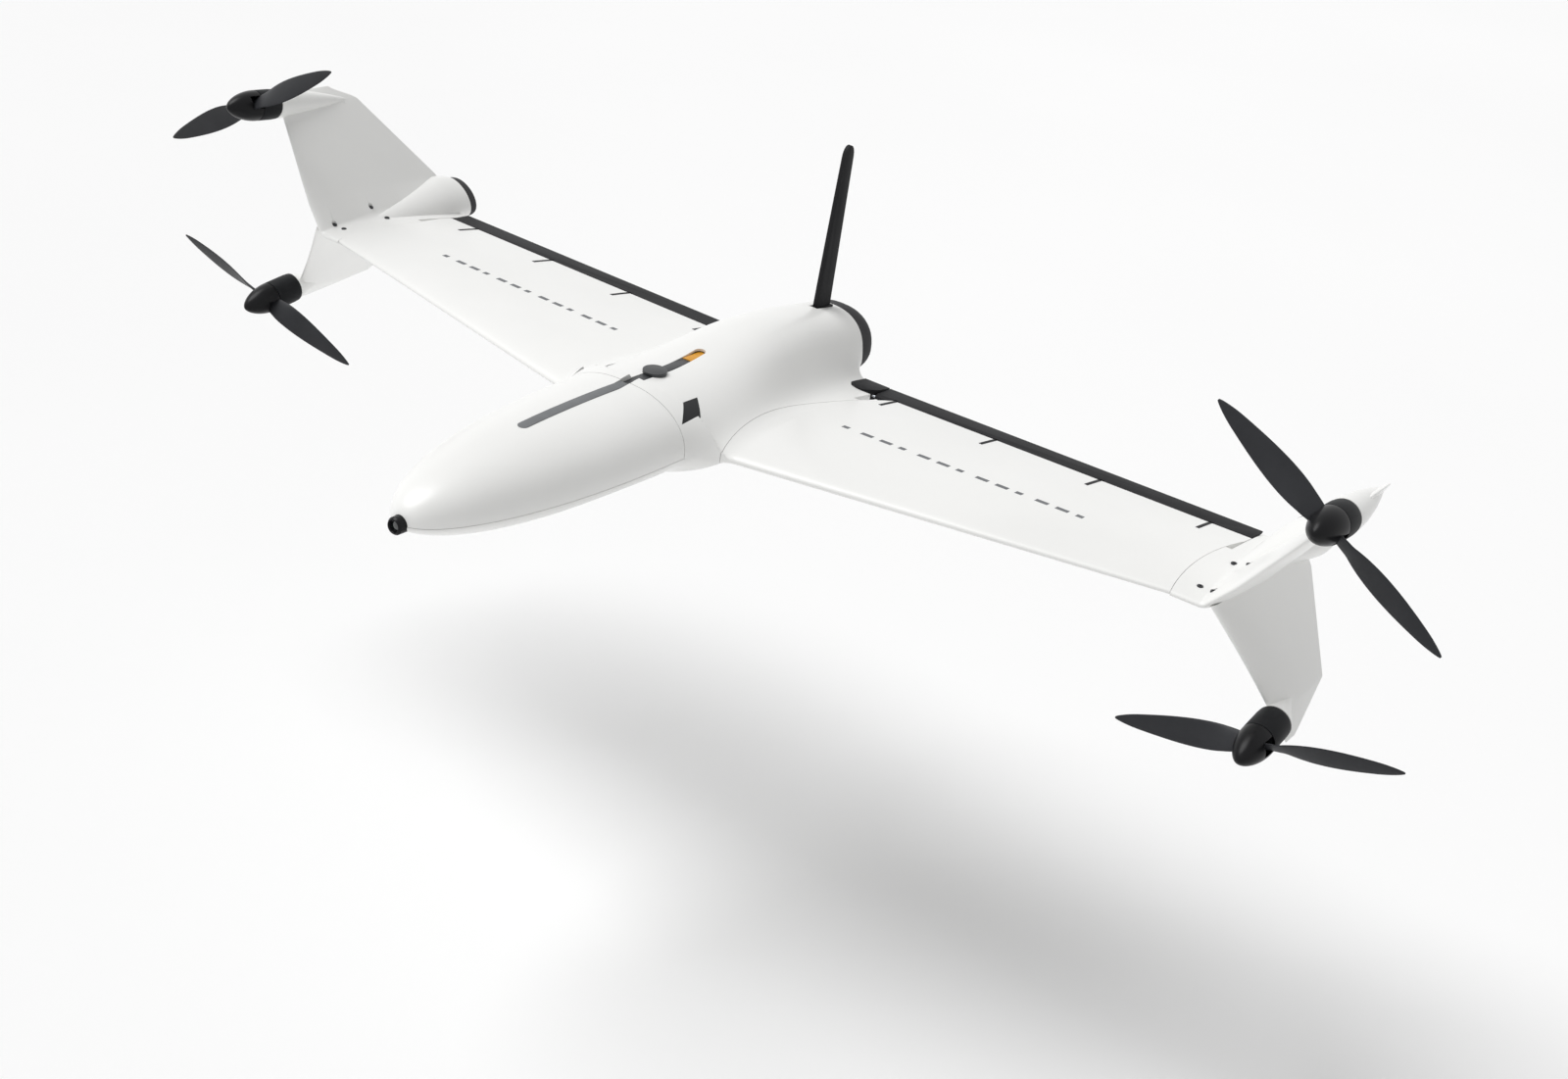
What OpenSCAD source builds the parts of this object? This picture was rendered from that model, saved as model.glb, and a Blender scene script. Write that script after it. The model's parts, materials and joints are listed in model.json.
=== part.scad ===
// Fixed wing tail-sitter survey drone: hollow body, two wing panels, two
// V-shaped winglets and four tractor drive units. Millimetres, flight attitude:
// span along X, nose towards -Y, up is +Z, lowest propeller tip at Z = 0.

/* [Body] */
// Distance from the tip screws forward to the nose of the shell
nose_reach = 351.5; // [345:0.5:360]
// Distance from the tip screws aft to the plane the drone stands on
tail_reach = 134; // [132:0.5:137]
// Half width of the body at its widest
body_half_w = 57.5; // [56:0.5:60]
// Height of the body's top line above the wing datum, ahead of the hump
body_top = 27.5; // [26.5:0.5:29]
// Depth of the belly below the wing datum
body_belly = 33; // [32:0.5:35]
// Extra height of the top line behind the latch
hump_h = 14.5; // [13:0.5:15.5]
// Wall of the body shells
shell_t = 1.8; // [1.6:0.1:2.2]
// Distance from the tip screws forward to the rear edge of the nose cover
cover_reach = 139; // [138:0.5:141]
// Lift of the antenna tip above the wing datum
antenna_top = 163.5; // [150:0.5:175]

/* [Wings] */
// Span across the outer faces of the motor cowls
span = 975; // [960:1:990]
// Chord of the wing at the body
root_chord = 219.5; // [216:0.5:223]
// Chord of the wing at the winglet seam
tip_chord = 151.5; // [149:0.5:154]
// Wing thickness over chord
wing_thick = 0.085; // [0.082:0.001:0.092]
// Chord of the elevon behind its hinge line
elevon_chord = 20; // [18:0.5:21]
// Radius of the main spar tube
spar_r = 4.5; // [4:0.1:5]

/* [Winglets] */
// Lean of the upper fin away from the vertical
fin_lean = 36.3; // [35:0.1:38]
// Lean of the lower fin away from the vertical
lower_lean = 34.7; // [33.5:0.1:36.5]
// Slant length of the upper fin from the wing datum to its top edge
upper_len = 119; // [117:0.5:122]
// Slant length of the lower fin from the wing datum to its bottom edge
lower_len = 104; // [102:0.5:106]
// Fin thickness over chord
fin_thick = 0.085; // [0.075:0.001:0.095]
// Half the width of the tail pod behind each winglet
pod_half_w = 23; // [22:0.5:24]

/* [Drives] */
// Radius of the motor cowl and the spinner
nacelle_r = 12.4; // [12.2:0.1:12.8]
// Length of the spinner
spinner_len = 28; // [26:0.5:32]
// Propeller diameter
prop_d = 203; // [190:1:206]
// Nose-up tilt of the upper thrust lines
tilt_up = 3.4; // [2:0.1:4]
// Nose-down tilt of the lower thrust lines
tilt_down = 9.6; // [8.5:0.1:11]
// Angle of the resting upper blades from the span line
rest_upper = 30; // [0:1:35]
// Angle of the resting lower blades from the span line
rest_lower = 16; // [0:1:20]

/* [Hidden] */
$fn = 48;

white = "#f2f2f0";
charcoal = "#34373a";
black = "#222326";
grey = "#6e7072";
amber = "#d9a030";
green = "#3c6b4a";

// Where the wing datum (height of the fin junction, tip screws) sits in the frame.
prop_r = prop_d / 2;
row_y = (nose_reach + 5 - tail_reach) / 2;
lower_hub_drop = 81.5;
row_z = lower_hub_drop + prop_r * sin(rest_lower) + 1.5;
gap = 0.3;
eps = 0.02;

function smooth(t) = let(u = min(1, max(0, t))) u * u * (3 - 2 * u);
function mix(a, b, t) = a + (b - a) * t;

// ---- body sections: half width, top line, waist line and belly line over y
nose_y = -nose_reach;
seam_y = -cover_reach;
tail_y = tail_reach;
rim_y = tail_y - 22;
waist_slope = 0.043;
function nose_curve(y, len, p, q) =
  let(u = min(1, max(0, (y - nose_y) / len))) pow(1 - pow(1 - u, p), q);
function aft(y, y0, y1) = smooth((y - y0) / (y1 - y0));
function waist(y) = -17.5 + waist_slope * (y - nose_y);
function half_w(y) =
  body_half_w * nose_curve(y, 216, 2.1, 0.5) - (body_half_w - 33.5) * aft(y, -145, 135);
function top_z(y) =
  -17.5 + (body_top + 17.5) * nose_curve(y, 226, 2, 0.42)
  + hump_h * aft(y, -100, 15) - 9 * aft(y, 30, 140);
function belly_z(y) =
  -17.5 - (body_belly - 17.5) * nose_curve(y, 80, 2, 0.5)
  + 3 * aft(y, -262, -185) + 7 * aft(y, 30, 140);
sect_n = 2.3;
belly_n = 1.9;
function sgn_pow(v, e) = (v < 0 ? -1 : 1) * pow(abs(v), e);
function body_ring(y, inset, n) = [for (i = [0 : n - 1])
  let(a = 360 * i / n, w = half_w(y) - inset, q = 2 / (sin(a) < 0 ? belly_n : sect_n),
      up = top_z(y) - waist(y) - inset, down = waist(y) - belly_z(y) - inset)
  [w * sgn_pow(cos(a), q), y, waist(y) + (sin(a) < 0 ? down : up) * sgn_pow(sin(a), q)]];

// A closed solid through a list of rings, all with the same number of points.
module skin(rings) {
  n = len(rings[0]);
  m = len(rings);
  pts = [for (r = rings) each r];
  sides = [for (i = [0 : m - 2]) for (j = [0 : n - 1])
    let(k = (j + 1) % n)
    each [[i * n + j, i * n + k, (i + 1) * n + j], [i * n + k, (i + 1) * n + k, (i + 1) * n + j]]];
  front = [[for (j = [n - 1 : -1 : 0]) j]];
  back = [[for (j = [0 : n - 1]) (m - 1) * n + j]];
  polyhedron(points = pts, faces = concat(front, sides, back));
}

ring_n = 44;
nose_steps = [0.35, 1.4, 3.2, 6, 10, 16, 24, 34, 48, 66, 90, 120, 160];
mid_steps = [seam_y, -110, -80, -50, -20, 10, 35, 60, 85, rim_y];
function body_ys() = concat([for (s = nose_steps) nose_y + s], mid_steps);

module body_outer() skin([for (y = body_ys()) body_ring(y, 0, ring_n)]);
module body_inner() {
  ys = concat([nose_y + 9, nose_y + 14, nose_y + 22, nose_y + 34, nose_y + 52, nose_y + 80,
    nose_y + 120, nose_y + 165], [for (y = mid_steps) y == rim_y ? rim_y + 1 : y]);
  skin([for (y = ys) body_ring(y, shell_t, 32)]);
}

// Everything the nose cover may fill: ahead of the seam and above the waist line.
module cover_zone(back, lift) {
  y0 = nose_y - 20;
  y1 = seam_y + back;
  rotate([90, 0, 90])
    linear_extrude(height = 3 * body_half_w, center = true)
      polygon([[y0, waist(y0) + lift], [y1, waist(y1) + lift], [y1, 90], [y0, 90]]);
}

// ---- wing surface
wing_x0 = 58;
tip_x = span / 2 - 106.5;
le_root = -119.5;
le_tip = -41.5;
function along(x) = (x - wing_x0) / (tip_x - wing_x0);
function wing_le(x) = mix(le_root, le_tip, along(x));
function wing_chord(x) = mix(root_chord, tip_chord, along(x));
function le_z(x) = mix(-8.5, -6.5, along(x));
te_z = -12;
camber = 0.01;
edge_t = 1.2;
function naca(u) =
  5 * (0.2969 * sqrt(u) - 0.126 * u - 0.3516 * u * u + 0.2843 * pow(u, 3) - 0.1015 * pow(u, 4));
function foil_half(u, c, t) = c * t * naca(u) + edge_t / 2 * u;
function wing_mid(u, x) =
  mix(le_z(x), te_z, u) + 4 * camber * u * (1 - u) * wing_chord(x);
// Chordwise stations: 0 at the trailing edge, over the top, back underneath.
foil_n = 17;
function foil_u(i) = let(a = 180 * i / foil_n) 0.5 * (1 + cos(a));
foil_i = concat([for (i = [0 : foil_n]) i], [for (i = [foil_n - 1 : -1 : 0]) -i - 0.5]);
function side_of(i) = i >= 0 ? 1 : -1;
function station_u(i) = foil_u(i >= 0 ? i : -i - 0.5);
function wing_ring(x) = let(c = wing_chord(x)) [for (i = foil_i) let(u = station_u(i))
  [x, wing_le(x) + u * c, wing_mid(u, x) + side_of(i) * foil_half(u, c, wing_thick)]];

// ---- root fairing: the wing section with a fillet running up the body side
fillet_r = 24;
function fillet_lift(x, y) =
  let(e = min(0.84, max(0, (half_w(y) + fillet_r - x) / fillet_r))) fillet_r * (1 - sqrt(1 - e * e));
function fairing_ring(x) = let(c = wing_chord(x)) [for (i = foil_i)
  let(u = station_u(i), y = wing_le(x) + u * c, s = side_of(i))
  [x, y, wing_mid(u, x) + s * (foil_half(u, c, wing_thick)
    + fillet_lift(x, y) * (s > 0 ? 1 : 0.55) * smooth(u / 0.12) * smooth((1 - u) / 0.12))]];
module fairing() skin([for (x = [94, 86, 78, 70, 63, 57, 51, 45, 38, 24]) fairing_ring(x)]);
// The wing panel carries the outer edge of that fillet, so the root seam is flush.
module wing_loft(x1) skin(concat([wing_ring(x1)], [for (x = [94, 86, 78, 70, 63, 57]) fairing_ring(x)]));

// Seams in plan: both are arcs bowed towards the body.
root_seam_r = 277;
root_seam_x = 61;
root_seam_y = -38;
tip_seam_r = 355;
module root_zone(extra) {
  translate([root_seam_x + root_seam_r, root_seam_y, 0])
    cylinder(h = 160, r = root_seam_r + extra, center = true, $fn = 180);
}
module tip_zone(extra) {
  translate([tip_x - 3.5 + tip_seam_r, 20, 0])
    cylinder(h = 240, r = tip_seam_r + extra, center = true, $fn = 180);
  translate([tip_x + 1 - extra, 68, -120]) cube([200, 120, 240]);
}

// ---- elevon hinge line: straight, in the plane Z = hinge_z
hinge_r = 1.6;
hinge_slope = (tip_chord + le_tip - root_chord - le_root) / (tip_x - wing_x0);
hinge_angle = atan(hinge_slope);
function wing_te(x) = wing_le(x) + wing_chord(x);
hinge_x0 = 71;
hinge_y0 = wing_te(hinge_x0) - elevon_chord;
hinge_z = -10.8;
function hinge_y(x) = hinge_y0 + (x - hinge_x0) * hinge_slope;
elevon_x1 = tip_x + 0.2;
tab_x0 = 89.2;
tab_pitch = (tip_x - tab_x0 - 30.8) / 3;
tab_w = 2.8;
tab_len = 22;
tabs = [for (i = [0 : 3]) tab_x0 + i * tab_pitch];

// Profile extruded along the hinge and trimmed square between two x values.
module hinge_bar(x0, x1) {
  intersection() {
    translate([hinge_x0, hinge_y0, hinge_z])
      rotate([0, 0, hinge_angle])
        rotate([90, 0, 90])
          translate([0, 0, -80])
            linear_extrude(height = tip_x + 60)
              children();
    translate([x0, -200, -60]) cube([x1 - x0, 500, 120]);
  }
}

// ---- fins: sections along a centreline that bends up or down out of the wing
fin_root_x = tip_x + 28;
fin_z = -7;
// The lower fin leaves the block this much further out.
lower_out = 3.5;
function fin_dir(up) = up ? [sin(fin_lean), cos(fin_lean)] : [sin(lower_lean), -cos(lower_lean)];
function fin_pt(s, up) = [fin_root_x + (up ? 0 : lower_out) + s * fin_dir(up)[0],
  fin_z + s * fin_dir(up)[1]];
// Straight fin sections: s along the slant, le and te in y, thickness factor k.
function fin_ring(s, le, te, up, k) = let(c = te - le, p = fin_pt(s, up), d = fin_dir(up),
    nrm = [-d[1], d[0]])
  [for (i = foil_i) let(u = station_u(i), h = side_of(i) * k * foil_half(u, c, fin_thick))
    [p[0] + h * nrm[0], le + u * c, p[1] + h * nrm[1]]];
upper_le_root = -39.5;
upper_le_top = -29;
upper_te_root = 113;
function upper_le(s) = mix(upper_le_root, upper_le_top, s / 95);
function upper_te(s) = min(upper_te_root, 131 - 0.708 * s)
  - 16 * smooth((s - 104) / (upper_len - 104));
function upper_ring(s, k) = fin_ring(s, upper_le(s), upper_te(s), true, k);
lower_le_root = -38;
lower_break = 84;
function lower_le(s) = lower_le_root + 0.32 * s + 2.4 * sin(180 * s / lower_len);
function lower_te(s) = let(main = 115.8 - 0.52 * s, tip = 72 - 3.15 * (s - lower_break))
  s < lower_break ? min(108, main) : min(main, tip);
function lower_ring(s, k) = fin_ring(s, lower_le(s), lower_te(s), false, k);
// Thins a fin's section over its last few millimetres, d short of the tip.
function tip_thin(d) = d < 9 ? sqrt(max(0.05, 1 - pow((9 - d) / 9.2, 2))) : 1;
module lower_fin() {
  low = lower_len;
  skin([for (s = [low, low - 1.4, low - 4, low - 8, 93, 89, 86.5, lower_break, 80, 60, 40, 20, 8, -2])
    lower_ring(s, tip_thin(low - s))]);
}
// Blend from the wing section into the upper fin, tighter in front than behind.
bend_fore = 6;
bend_aft = 38;
bend_turn = 90 - fin_lean;
function tip_ring(t) = let(
    a = bend_turn * t,
    le = mix(le_tip + 2, upper_le_root + 1, t), te = mix(110, upper_te_root, t), c = te - le)
  [for (i = foil_i) let(u = station_u(i),
      r = mix(bend_fore, bend_aft, u),
      x = fin_root_x - 3.5 - r * tan(bend_turn / 2) + r * sin(a),
      z = fin_z - 1 + r * (1 - cos(a)),
      h = side_of(i) * foil_half(u, c, mix(wing_thick, fin_thick, t)),
      sag = (1 - t) * u * (4 * camber * (1 - u) * c - 3.5))
    [x - h * sin(a), le + u * c, z + sag + h * cos(a)]];
// One loft from the wing's section round the bend to the tip of the upper fin.
module upper_fin() {
  top = upper_len;
  straight = [for (s = [top, top - 1.4, top - 4, top - 8, 107, 103, 90, 60, 40, 24])
    upper_ring(s, tip_thin(top - s))];
  bend = [for (i = [5 : -1 : 0]) tip_ring(i / 5)];
  skin(concat(straight, bend, [wing_ring(tip_x - 6)]));
}

// ---- drive positions: centre of the joint between spinner and cowl
upper_hub = [span / 2 - nacelle_r, -53.5, 83.5];
lower_hub = [span / 2 - nacelle_r - 12, -37.8, -lower_hub_drop];
upper_cowl = 20.5;
lower_cowl = 25.5;
cowl_wall = 1;
// Local Z runs forward along the thrust line.
module at_upper() translate(upper_hub) rotate([90 - tilt_up, 0, 0]) children();
module at_lower() translate(lower_hub) rotate([90 + tilt_down, 0, 0]) children();
module row() translate([0, row_y, row_z]) children();
module both() {
  children();
  mirror([1, 0, 0]) children();
}

// White stubs that carry the cowls and fade into the fins behind them, leaning into the fin.
stub_r = nacelle_r - 0.5;
stub_lap = 2;
stub_t = [0.1 : 0.1 : 1];
upper_stub_len = 78;
upper_stub_lean = 2.8;
upper_stub = [for (t = stub_t) [stub_r * (1 - pow(t, 1.6)) + 1.5 * t, -upper_stub_len * t]];
lower_stub_len = 40;
lower_stub_lean = 8;
lower_stub = [for (t = stub_t) [stub_r * pow(1 - t, 1.3) + 0.4 * t, -lower_stub_len * t]];
// The profile starts ahead of the cowl's rear face, where drive_room trims it.
module stub(cowl, lean, profile) {
  translate([0, 0, -cowl])
    rotate([0, lean, 0])
      rotate_extrude()
        polygon(concat([[0, stub_lap], [stub_r, stub_lap], [stub_r, 0]], profile,
          [[0, profile[len(profile) - 1][1]]]));
}
// Room that the cowl, motor and spinner need, cut from the fins.
module drive_room(cowl) {
  translate([0, 0, -cowl]) cylinder(h = cowl + 60, r = nacelle_r + 1.2);
}

// Tail pod: an oval that grows aft under the bend, its flat side up and inboard.
pod_y0 = -30;
pod_y = rim_y + 12;
pod_deep = 0.6 * pod_half_w;
pod_tilt = 31;
pod_x = fin_root_x + 3;
pod_z = -2;
pod_drift = [20, 6];
pod_n = 28;
pod_full = 0.88;
pod_rim = 0.9;
// Ring at height y: k is its size and d its drift inboard, as shares of the largest section.
function pod_ring(y, k, d) = [for (i = [0 : pod_n - 1]) let(a = -360 * i / pod_n,
    u = k * pod_half_w * cos(a), v = k * pod_deep * sin(a), drift = d * pod_drift)
  [pod_x - drift[0] + u * cos(pod_tilt) - v * sin(pod_tilt), y,
    pod_z - drift[1] + u * sin(pod_tilt) + v * cos(pod_tilt)]];
function pod_size(t) = 0.03 + 0.97 * pow(min(1, t / pod_full), 1.2)
  * (1 - (1 - pod_rim) * pow(max(0, t - pod_full) / (1 - pod_full), 2));
module pod_shape() {
  skin([for (t = [1, 0.97, 0.94, 0.91, 0.88, 0.75, 0.6, 0.45, 0.3, 0.15, 0])
    pod_ring(mix(pod_y0, pod_y, t), pod_size(t), 1 - pod_size(t))]);
}

module winglet() {
  difference() {
    union() {
      intersection() {
        upper_fin();
        tip_zone(0);
      }
      lower_fin();
      pod_shape();
      at_upper() stub(upper_cowl, upper_stub_lean, upper_stub);
      at_lower() stub(lower_cowl, lower_stub_lean, lower_stub);
    }
    at_upper() drive_room(upper_cowl);
    at_lower() drive_room(lower_cowl);
    translate([0, pod_y, -60]) cube([600, 90, 120]);
    hinge_bar(elevon_x1 - 60, elevon_x1 + 1.2) square([80, 50], center = true);
    harness_room();
    screw_room();
  }
}

// ---- wing panel
module spar_room(r, len, y, z) {
  translate([-len, y, z]) rotate([0, 90, 0]) cylinder(h = 2 * len, r = r);
}
spar_y = -20;
spar_z = -7.6;
spar_len = tip_x - 51;
rear_spar_y = 45;
rear_spar_z = -9.2;
rear_spar_r = 2.5;
rear_spar_len = 205;
harness_y = 8;
harness_z = -7.9;
harness_r = 1.9;
module harness_room() spar_room(harness_r + gap, tip_x + 24, harness_y, harness_z);
// Slot for a hinge tab, or the tab itself with no extra; its bottom clears the pin's barrel.
tab_bottom = 0.7;
tab_step = 0.1;
module tab_room(x, extra) {
  y1 = hinge_y(x);
  z1 = hinge_z + tab_bottom - (extra > 0 ? tab_step + extra : 0);
  translate([x - tab_w / 2 - extra, y1 - tab_len - hinge_r, z1])
    cube([tab_w + 2 * extra, tab_len + hinge_r, 12]);
}
module cove() {
  circle(r = hinge_r + gap);
  translate([-0.8, -20]) square([60, 40]);
}
module wing() {
  difference() {
    intersection() {
      wing_loft(tip_x + 8);
      root_zone(0);
    }
    tip_zone(gap);
    hinge_bar(hinge_x0 - 10, tip_x + 3) cove();
    translate([40, hinge_y(40) - 8, -40]) cube([hinge_x0 - 40, 80, 80]);
    spar_room(spar_r, spar_len + 1, spar_y, spar_z);
    spar_room(rear_spar_r, rear_spar_len + 1, rear_spar_y, rear_spar_z);
    harness_room();
    for (x = tabs) tab_room(x, 0.05);
  }
}

// ---- elevon: round nose, bevelled shoulders and a blade that thins from below
shoulder = 2.45;
module elevon_profile() {
  circle(r = hinge_r);
  polygon([[0, hinge_r], [1.3, shoulder], [elevon_chord, 1.9], [elevon_chord, 1.9 - edge_t],
    [1.3, -shoulder], [0, -hinge_r]]);
}
eye_w = 3.6;
eye_r = 1.3;
pin_r = 0.5;
rod_r = 1;
rod_x0 = 21;
rod_x1 = 84;
module elevon() {
  difference() {
    hinge_bar(hinge_x0 + gap, elevon_x1) elevon_profile();
    for (x = tabs) {
      translate([x - eye_w / 2 - gap, hinge_y(x) - 5, hinge_z - 6])
        cube([eye_w + 2 * gap, 6.9, 12]);
      hinge_bar(x - 5, x + 5) circle(r = pin_r);
    }
    hinge_bar(rod_x0, rod_x1) circle(r = rod_r);
  }
}
module hinge_pins() {
  for (x = tabs) hinge_bar(x - 4.9, x + 4.9) circle(r = pin_r);
}
module tab(x) {
  difference() {
    union() {
      intersection() {
        tab_room(x, 0);
        translate([0, 0, 0.2]) skin([wing_ring(tip_x), wing_ring(tab_x0 - 8)]);
        translate([0, -100, -50]) cube([tip_x, 100 + hinge_y(x) - 1.2, 100]);
      }
      hinge_bar(x - tab_w / 2, x + tab_w / 2) {
        circle(r = eye_r);
        translate([-2.6, tab_bottom - tab_step]) square([2.6, eye_r - tab_bottom + tab_step]);
      }
    }
    hinge_bar(x - 5, x + 5) circle(r = pin_r + 0.05);
  }
}
module torque_rod() hinge_bar(rod_x0, rod_x1) circle(r = rod_r);

// Dark block at the inner end of the elevon: bearing for the torque rod.
block_x0 = 48;
module block_shape(extra) {
  x1 = hinge_x0 - gap;
  intersection() {
    translate([block_x0 - extra, 0, 0]) rotate([90, 0, 90])
      linear_extrude(height = x1 - block_x0 + 2 * extra)
        polygon([[hinge_y0 - 6.5 - extra, hinge_z - 3.4 - extra], [hinge_y0 - 6.5 - extra, hinge_z + 4.6],
          [hinge_y0 - 2, hinge_z + 5], [wing_te(60), hinge_z + 2.4], [wing_te(60), hinge_z - 2.6]]);
    union() {
      translate([x1 - 14, hinge_y0 + 7, -40]) cylinder(h = 80, r = 14 + extra, $fn = 64);
      translate([block_x0 - 1, hinge_y0 - 7, -40]) cube([x1 - 13 - block_x0, 60, 80]);
      translate([block_x0 - 1, hinge_y0 + 7, -40]) cube([x1 + 1 + extra - block_x0, 60, 80]);
    }
  }
}
module root_block() {
  difference() {
    block_shape(0);
    hinge_bar(30, 90) circle(r = rod_r + 0.05);
  }
}

// ---- latch: local frame on the top line, pin axis along X at its origin
latch_y = seam_y + 43.5;
latch_drop = 1.6;
latch_tilt = atan((top_z(latch_y + 25.5) - top_z(latch_y - 29.5)) / 55);
module on_latch() {
  translate([0, latch_y, top_z(latch_y) - latch_drop]) rotate([latch_tilt, 0, 0]) children();
}
bar_w = 8.2;
groove_w = bar_w + 2 * gap;
lever_len = 43.5;
tab_start = 25;
pin_len = 13;
latch_pin_r = 0.9;
module latch_groove() {
  on_latch() {
    translate([-groove_w / 2, seam_y - latch_y - 4, -2.6])
      cube([groove_w, latch_y - seam_y + 4 + lever_len - bar_w / 2, 14]);
    translate([0, lever_len - bar_w / 2, -2.6]) cylinder(h = 14, r = groove_w / 2);
    intersection() {
      translate([0, -11.2, 1.2]) cylinder(h = 8, r = 8.7);
      translate([-10, -11.2 - 8.7, 0]) cube([20, 17.4, 10]);
    }
  }
}
module latch_boss() {
  on_latch() translate([-9, seam_y - latch_y + 0.6, -4.6]) cube([18, 92, 4.9]);
}
module latch_pin_bar(r, len) {
  on_latch() translate([-len / 2, 0, 0]) rotate([0, 90, 0]) cylinder(h = len, r = r);
}

// ---- side windows, belly camera and sensor positions
win_y = seam_y + 19.5;
win_lean = 32;
// Slanted four-sided pane on the shoulder of the body.
module window_cut() {
  translate([43, win_y, 17])
    rotate([0, win_lean, 0])
      translate([0, 0, -8])
        linear_extrude(height = 30)
          polygon([[-7.7, -3.5], [-7.7, 16], [7.7, 5.5], [7.7, -16.7]]);
}
cam_y = seam_y + 41;
cam_w = 34;
cam_l = 24;
pane_z = belly_z(cam_y) + 1;
pane_t = 1.2;
cam_z = pane_z + pane_t + 2.4;
module camera_opening(extra, z0, z1) {
  translate([-cam_w / 2 - extra, cam_y - cam_l / 2 - extra, z0])
    cube([cam_w + 2 * extra, cam_l + 2 * extra, z1 - z0]);
}
sensor_z = waist(nose_y);
sensor_r = 6;
sensor_back = nose_y + 7;
module sensor_room(r) {
  translate([0, sensor_back, sensor_z]) rotate([90, 0, 0]) cylinder(h = 30, r = r);
}

tray_z = -23;
tray_t = 1.5;
tray_w = 50;
tray_y0 = -300;
tray_y1 = 32;
tray_mid = -76;
rib_ys = [-280, -215, -150, -60, 0, 30];
module ribs() {
  intersection() {
    body_outer();
    union() {
      for (y = rib_ys) translate([-60, y, -60]) cube([120, 2, 60 + tray_z]);
      translate([-60, hinge_y(rod_x0) + 6, -60]) cube([120, 2, 60 + hinge_z + 7]);
    }
  }
}
gps_y = 60;
gps_w = 24;
gps_z = 24;

module main_hull() color(white) row() {
  difference() {
    union() {
      difference() {
        union() {
          body_outer();
          both() fairing();
        }
        body_inner();
        cover_zone(0, 0);
      }
      ribs();
      intersection() {
        union() {
          latch_boss();
          translate([-gps_w / 2, gps_y - gps_w / 2, gps_z + 9]) cube([gps_w, gps_w, 14]);
          translate([-cam_w / 2 - 4, cam_y - cam_l / 2 - 4, -40])
            cube([cam_w + 8, cam_l + 8, 40 + cam_z]);
        }
        body_outer();
      }
    }
    both() root_zone(gap);
    both() block_shape(0);
    both() hinge_bar(20, hinge_x0 + 20) circle(r = rod_r + 0.25);
    both() translate([hinge_x0 - 1, hinge_y0 - 30, -40]) cube([60, 80, 80]);
    both() translate([block_x0 + 6, wing_te(60) - 0.5, -40]) cube([60, 80, 80]);
    spar_room(spar_r, 90, spar_y, spar_z);
    spar_room(rear_spar_r, 90, rear_spar_y, rear_spar_z);
    harness_room();
    latch_groove();
    latch_pin_bar(latch_pin_r, pin_len);
    both() window_cut();
    camera_opening(0.02, -50, tray_z);
    sensor_room(sensor_r);
    translate([0, antenna_y, 0]) antenna_plug(0.02);
  }
}

module nose_cover() color(white) row() {
  difference() {
    intersection() {
      difference() {
        body_outer();
        body_inner();
      }
      cover_zone(-gap, gap);
    }
    grip_room(-shell_t / 2);
    sensor_room(sensor_r + gap);
    translate([-sensor_r - gap, nose_y - 2, sensor_z - 10]) cube([2 * (sensor_r + gap), 14, 10]);
  }
}

// Strip let into the nose cover, following its top line.
grip_y0 = -246;
grip_w = 8.2;
function grip_line(dz) = concat([[grip_y0, top_z(grip_y0) + dz]],
  [for (i = [1 : 5]) let(y = mix(grip_y0, seam_y, i / 6)) [y, top_z(y) + dz]], [[seam_y - gap, top_z(seam_y) + dz]]);
module grip_slab(z0, z1) {
  hi = grip_line(z1);
  lo = grip_line(z0);
  intersection() {
    rotate([90, 0, 90])
      linear_extrude(height = grip_w, center = true)
        polygon(concat(hi, [for (i = [len(lo) - 1 : -1 : 0]) lo[i]]));
    union() {
      translate([0, grip_y0 + grip_w / 2, -50]) cylinder(h = 120, r = grip_w / 2);
      translate([-grip_w / 2, grip_y0 + grip_w / 2, -50]) cube([grip_w, 140, 120]);
    }
  }
}
module grip_room(depth) grip_slab(depth, 6);
module grip_strip() color(grey) row() grip_slab(-shell_t / 2, 0.45);

module latch_tongue() color(black) row() on_latch() {
  translate([-bar_w / 2, seam_y - latch_y + gap, -2.3]) cube([bar_w, 34, 4.5]);
}
module latch_housing() color(black) row() on_latch() {
  difference() {
    intersection() {
      translate([0, -11.2, 1.2]) cylinder(h = 3.4, r = 8.7);
      translate([-10, -11.2 - 8.7, 0]) cube([20, 17.2, 10]);
    }
    translate([-groove_w / 2, -40, -5]) cube([groove_w, 60, 5 + 2.2 + gap]);
    translate([-12, -40, 3.4]) rotate([14, 0, 0]) cube([24, 16, 10]);
  }
}
module latch_lever() color(grey) row() on_latch() {
  difference() {
    union() {
      rotate([0, 90, 0]) cylinder(h = bar_w, r = 2, center = true);
      translate([-bar_w / 2, 0, -2]) cube([bar_w, tab_start, 4]);
      translate([-2.5, 0, -2]) cube([5, 39, 1.8]);
    }
    rotate([0, 90, 0]) cylinder(h = 20, r = latch_pin_r + 0.05, center = true);
  }
}
module lever_tab() color(amber) row() on_latch() {
  translate([0, 0, -0.2]) {
    intersection() {
      union() {
        translate([-bar_w / 2, tab_start, 0]) cube([bar_w, lever_len - tab_start - bar_w / 2, 2.8]);
        translate([0, lever_len - bar_w / 2, 0]) cylinder(h = 2.8, r = bar_w / 2);
      }
      translate([0, 0, -9.4]) rotate([-90, 0, 0]) cylinder(h = 60, r = 12.3, $fn = 96);
    }
  }
}
module latch_pin() color(black) row() latch_pin_bar(latch_pin_r, pin_len);

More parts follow.
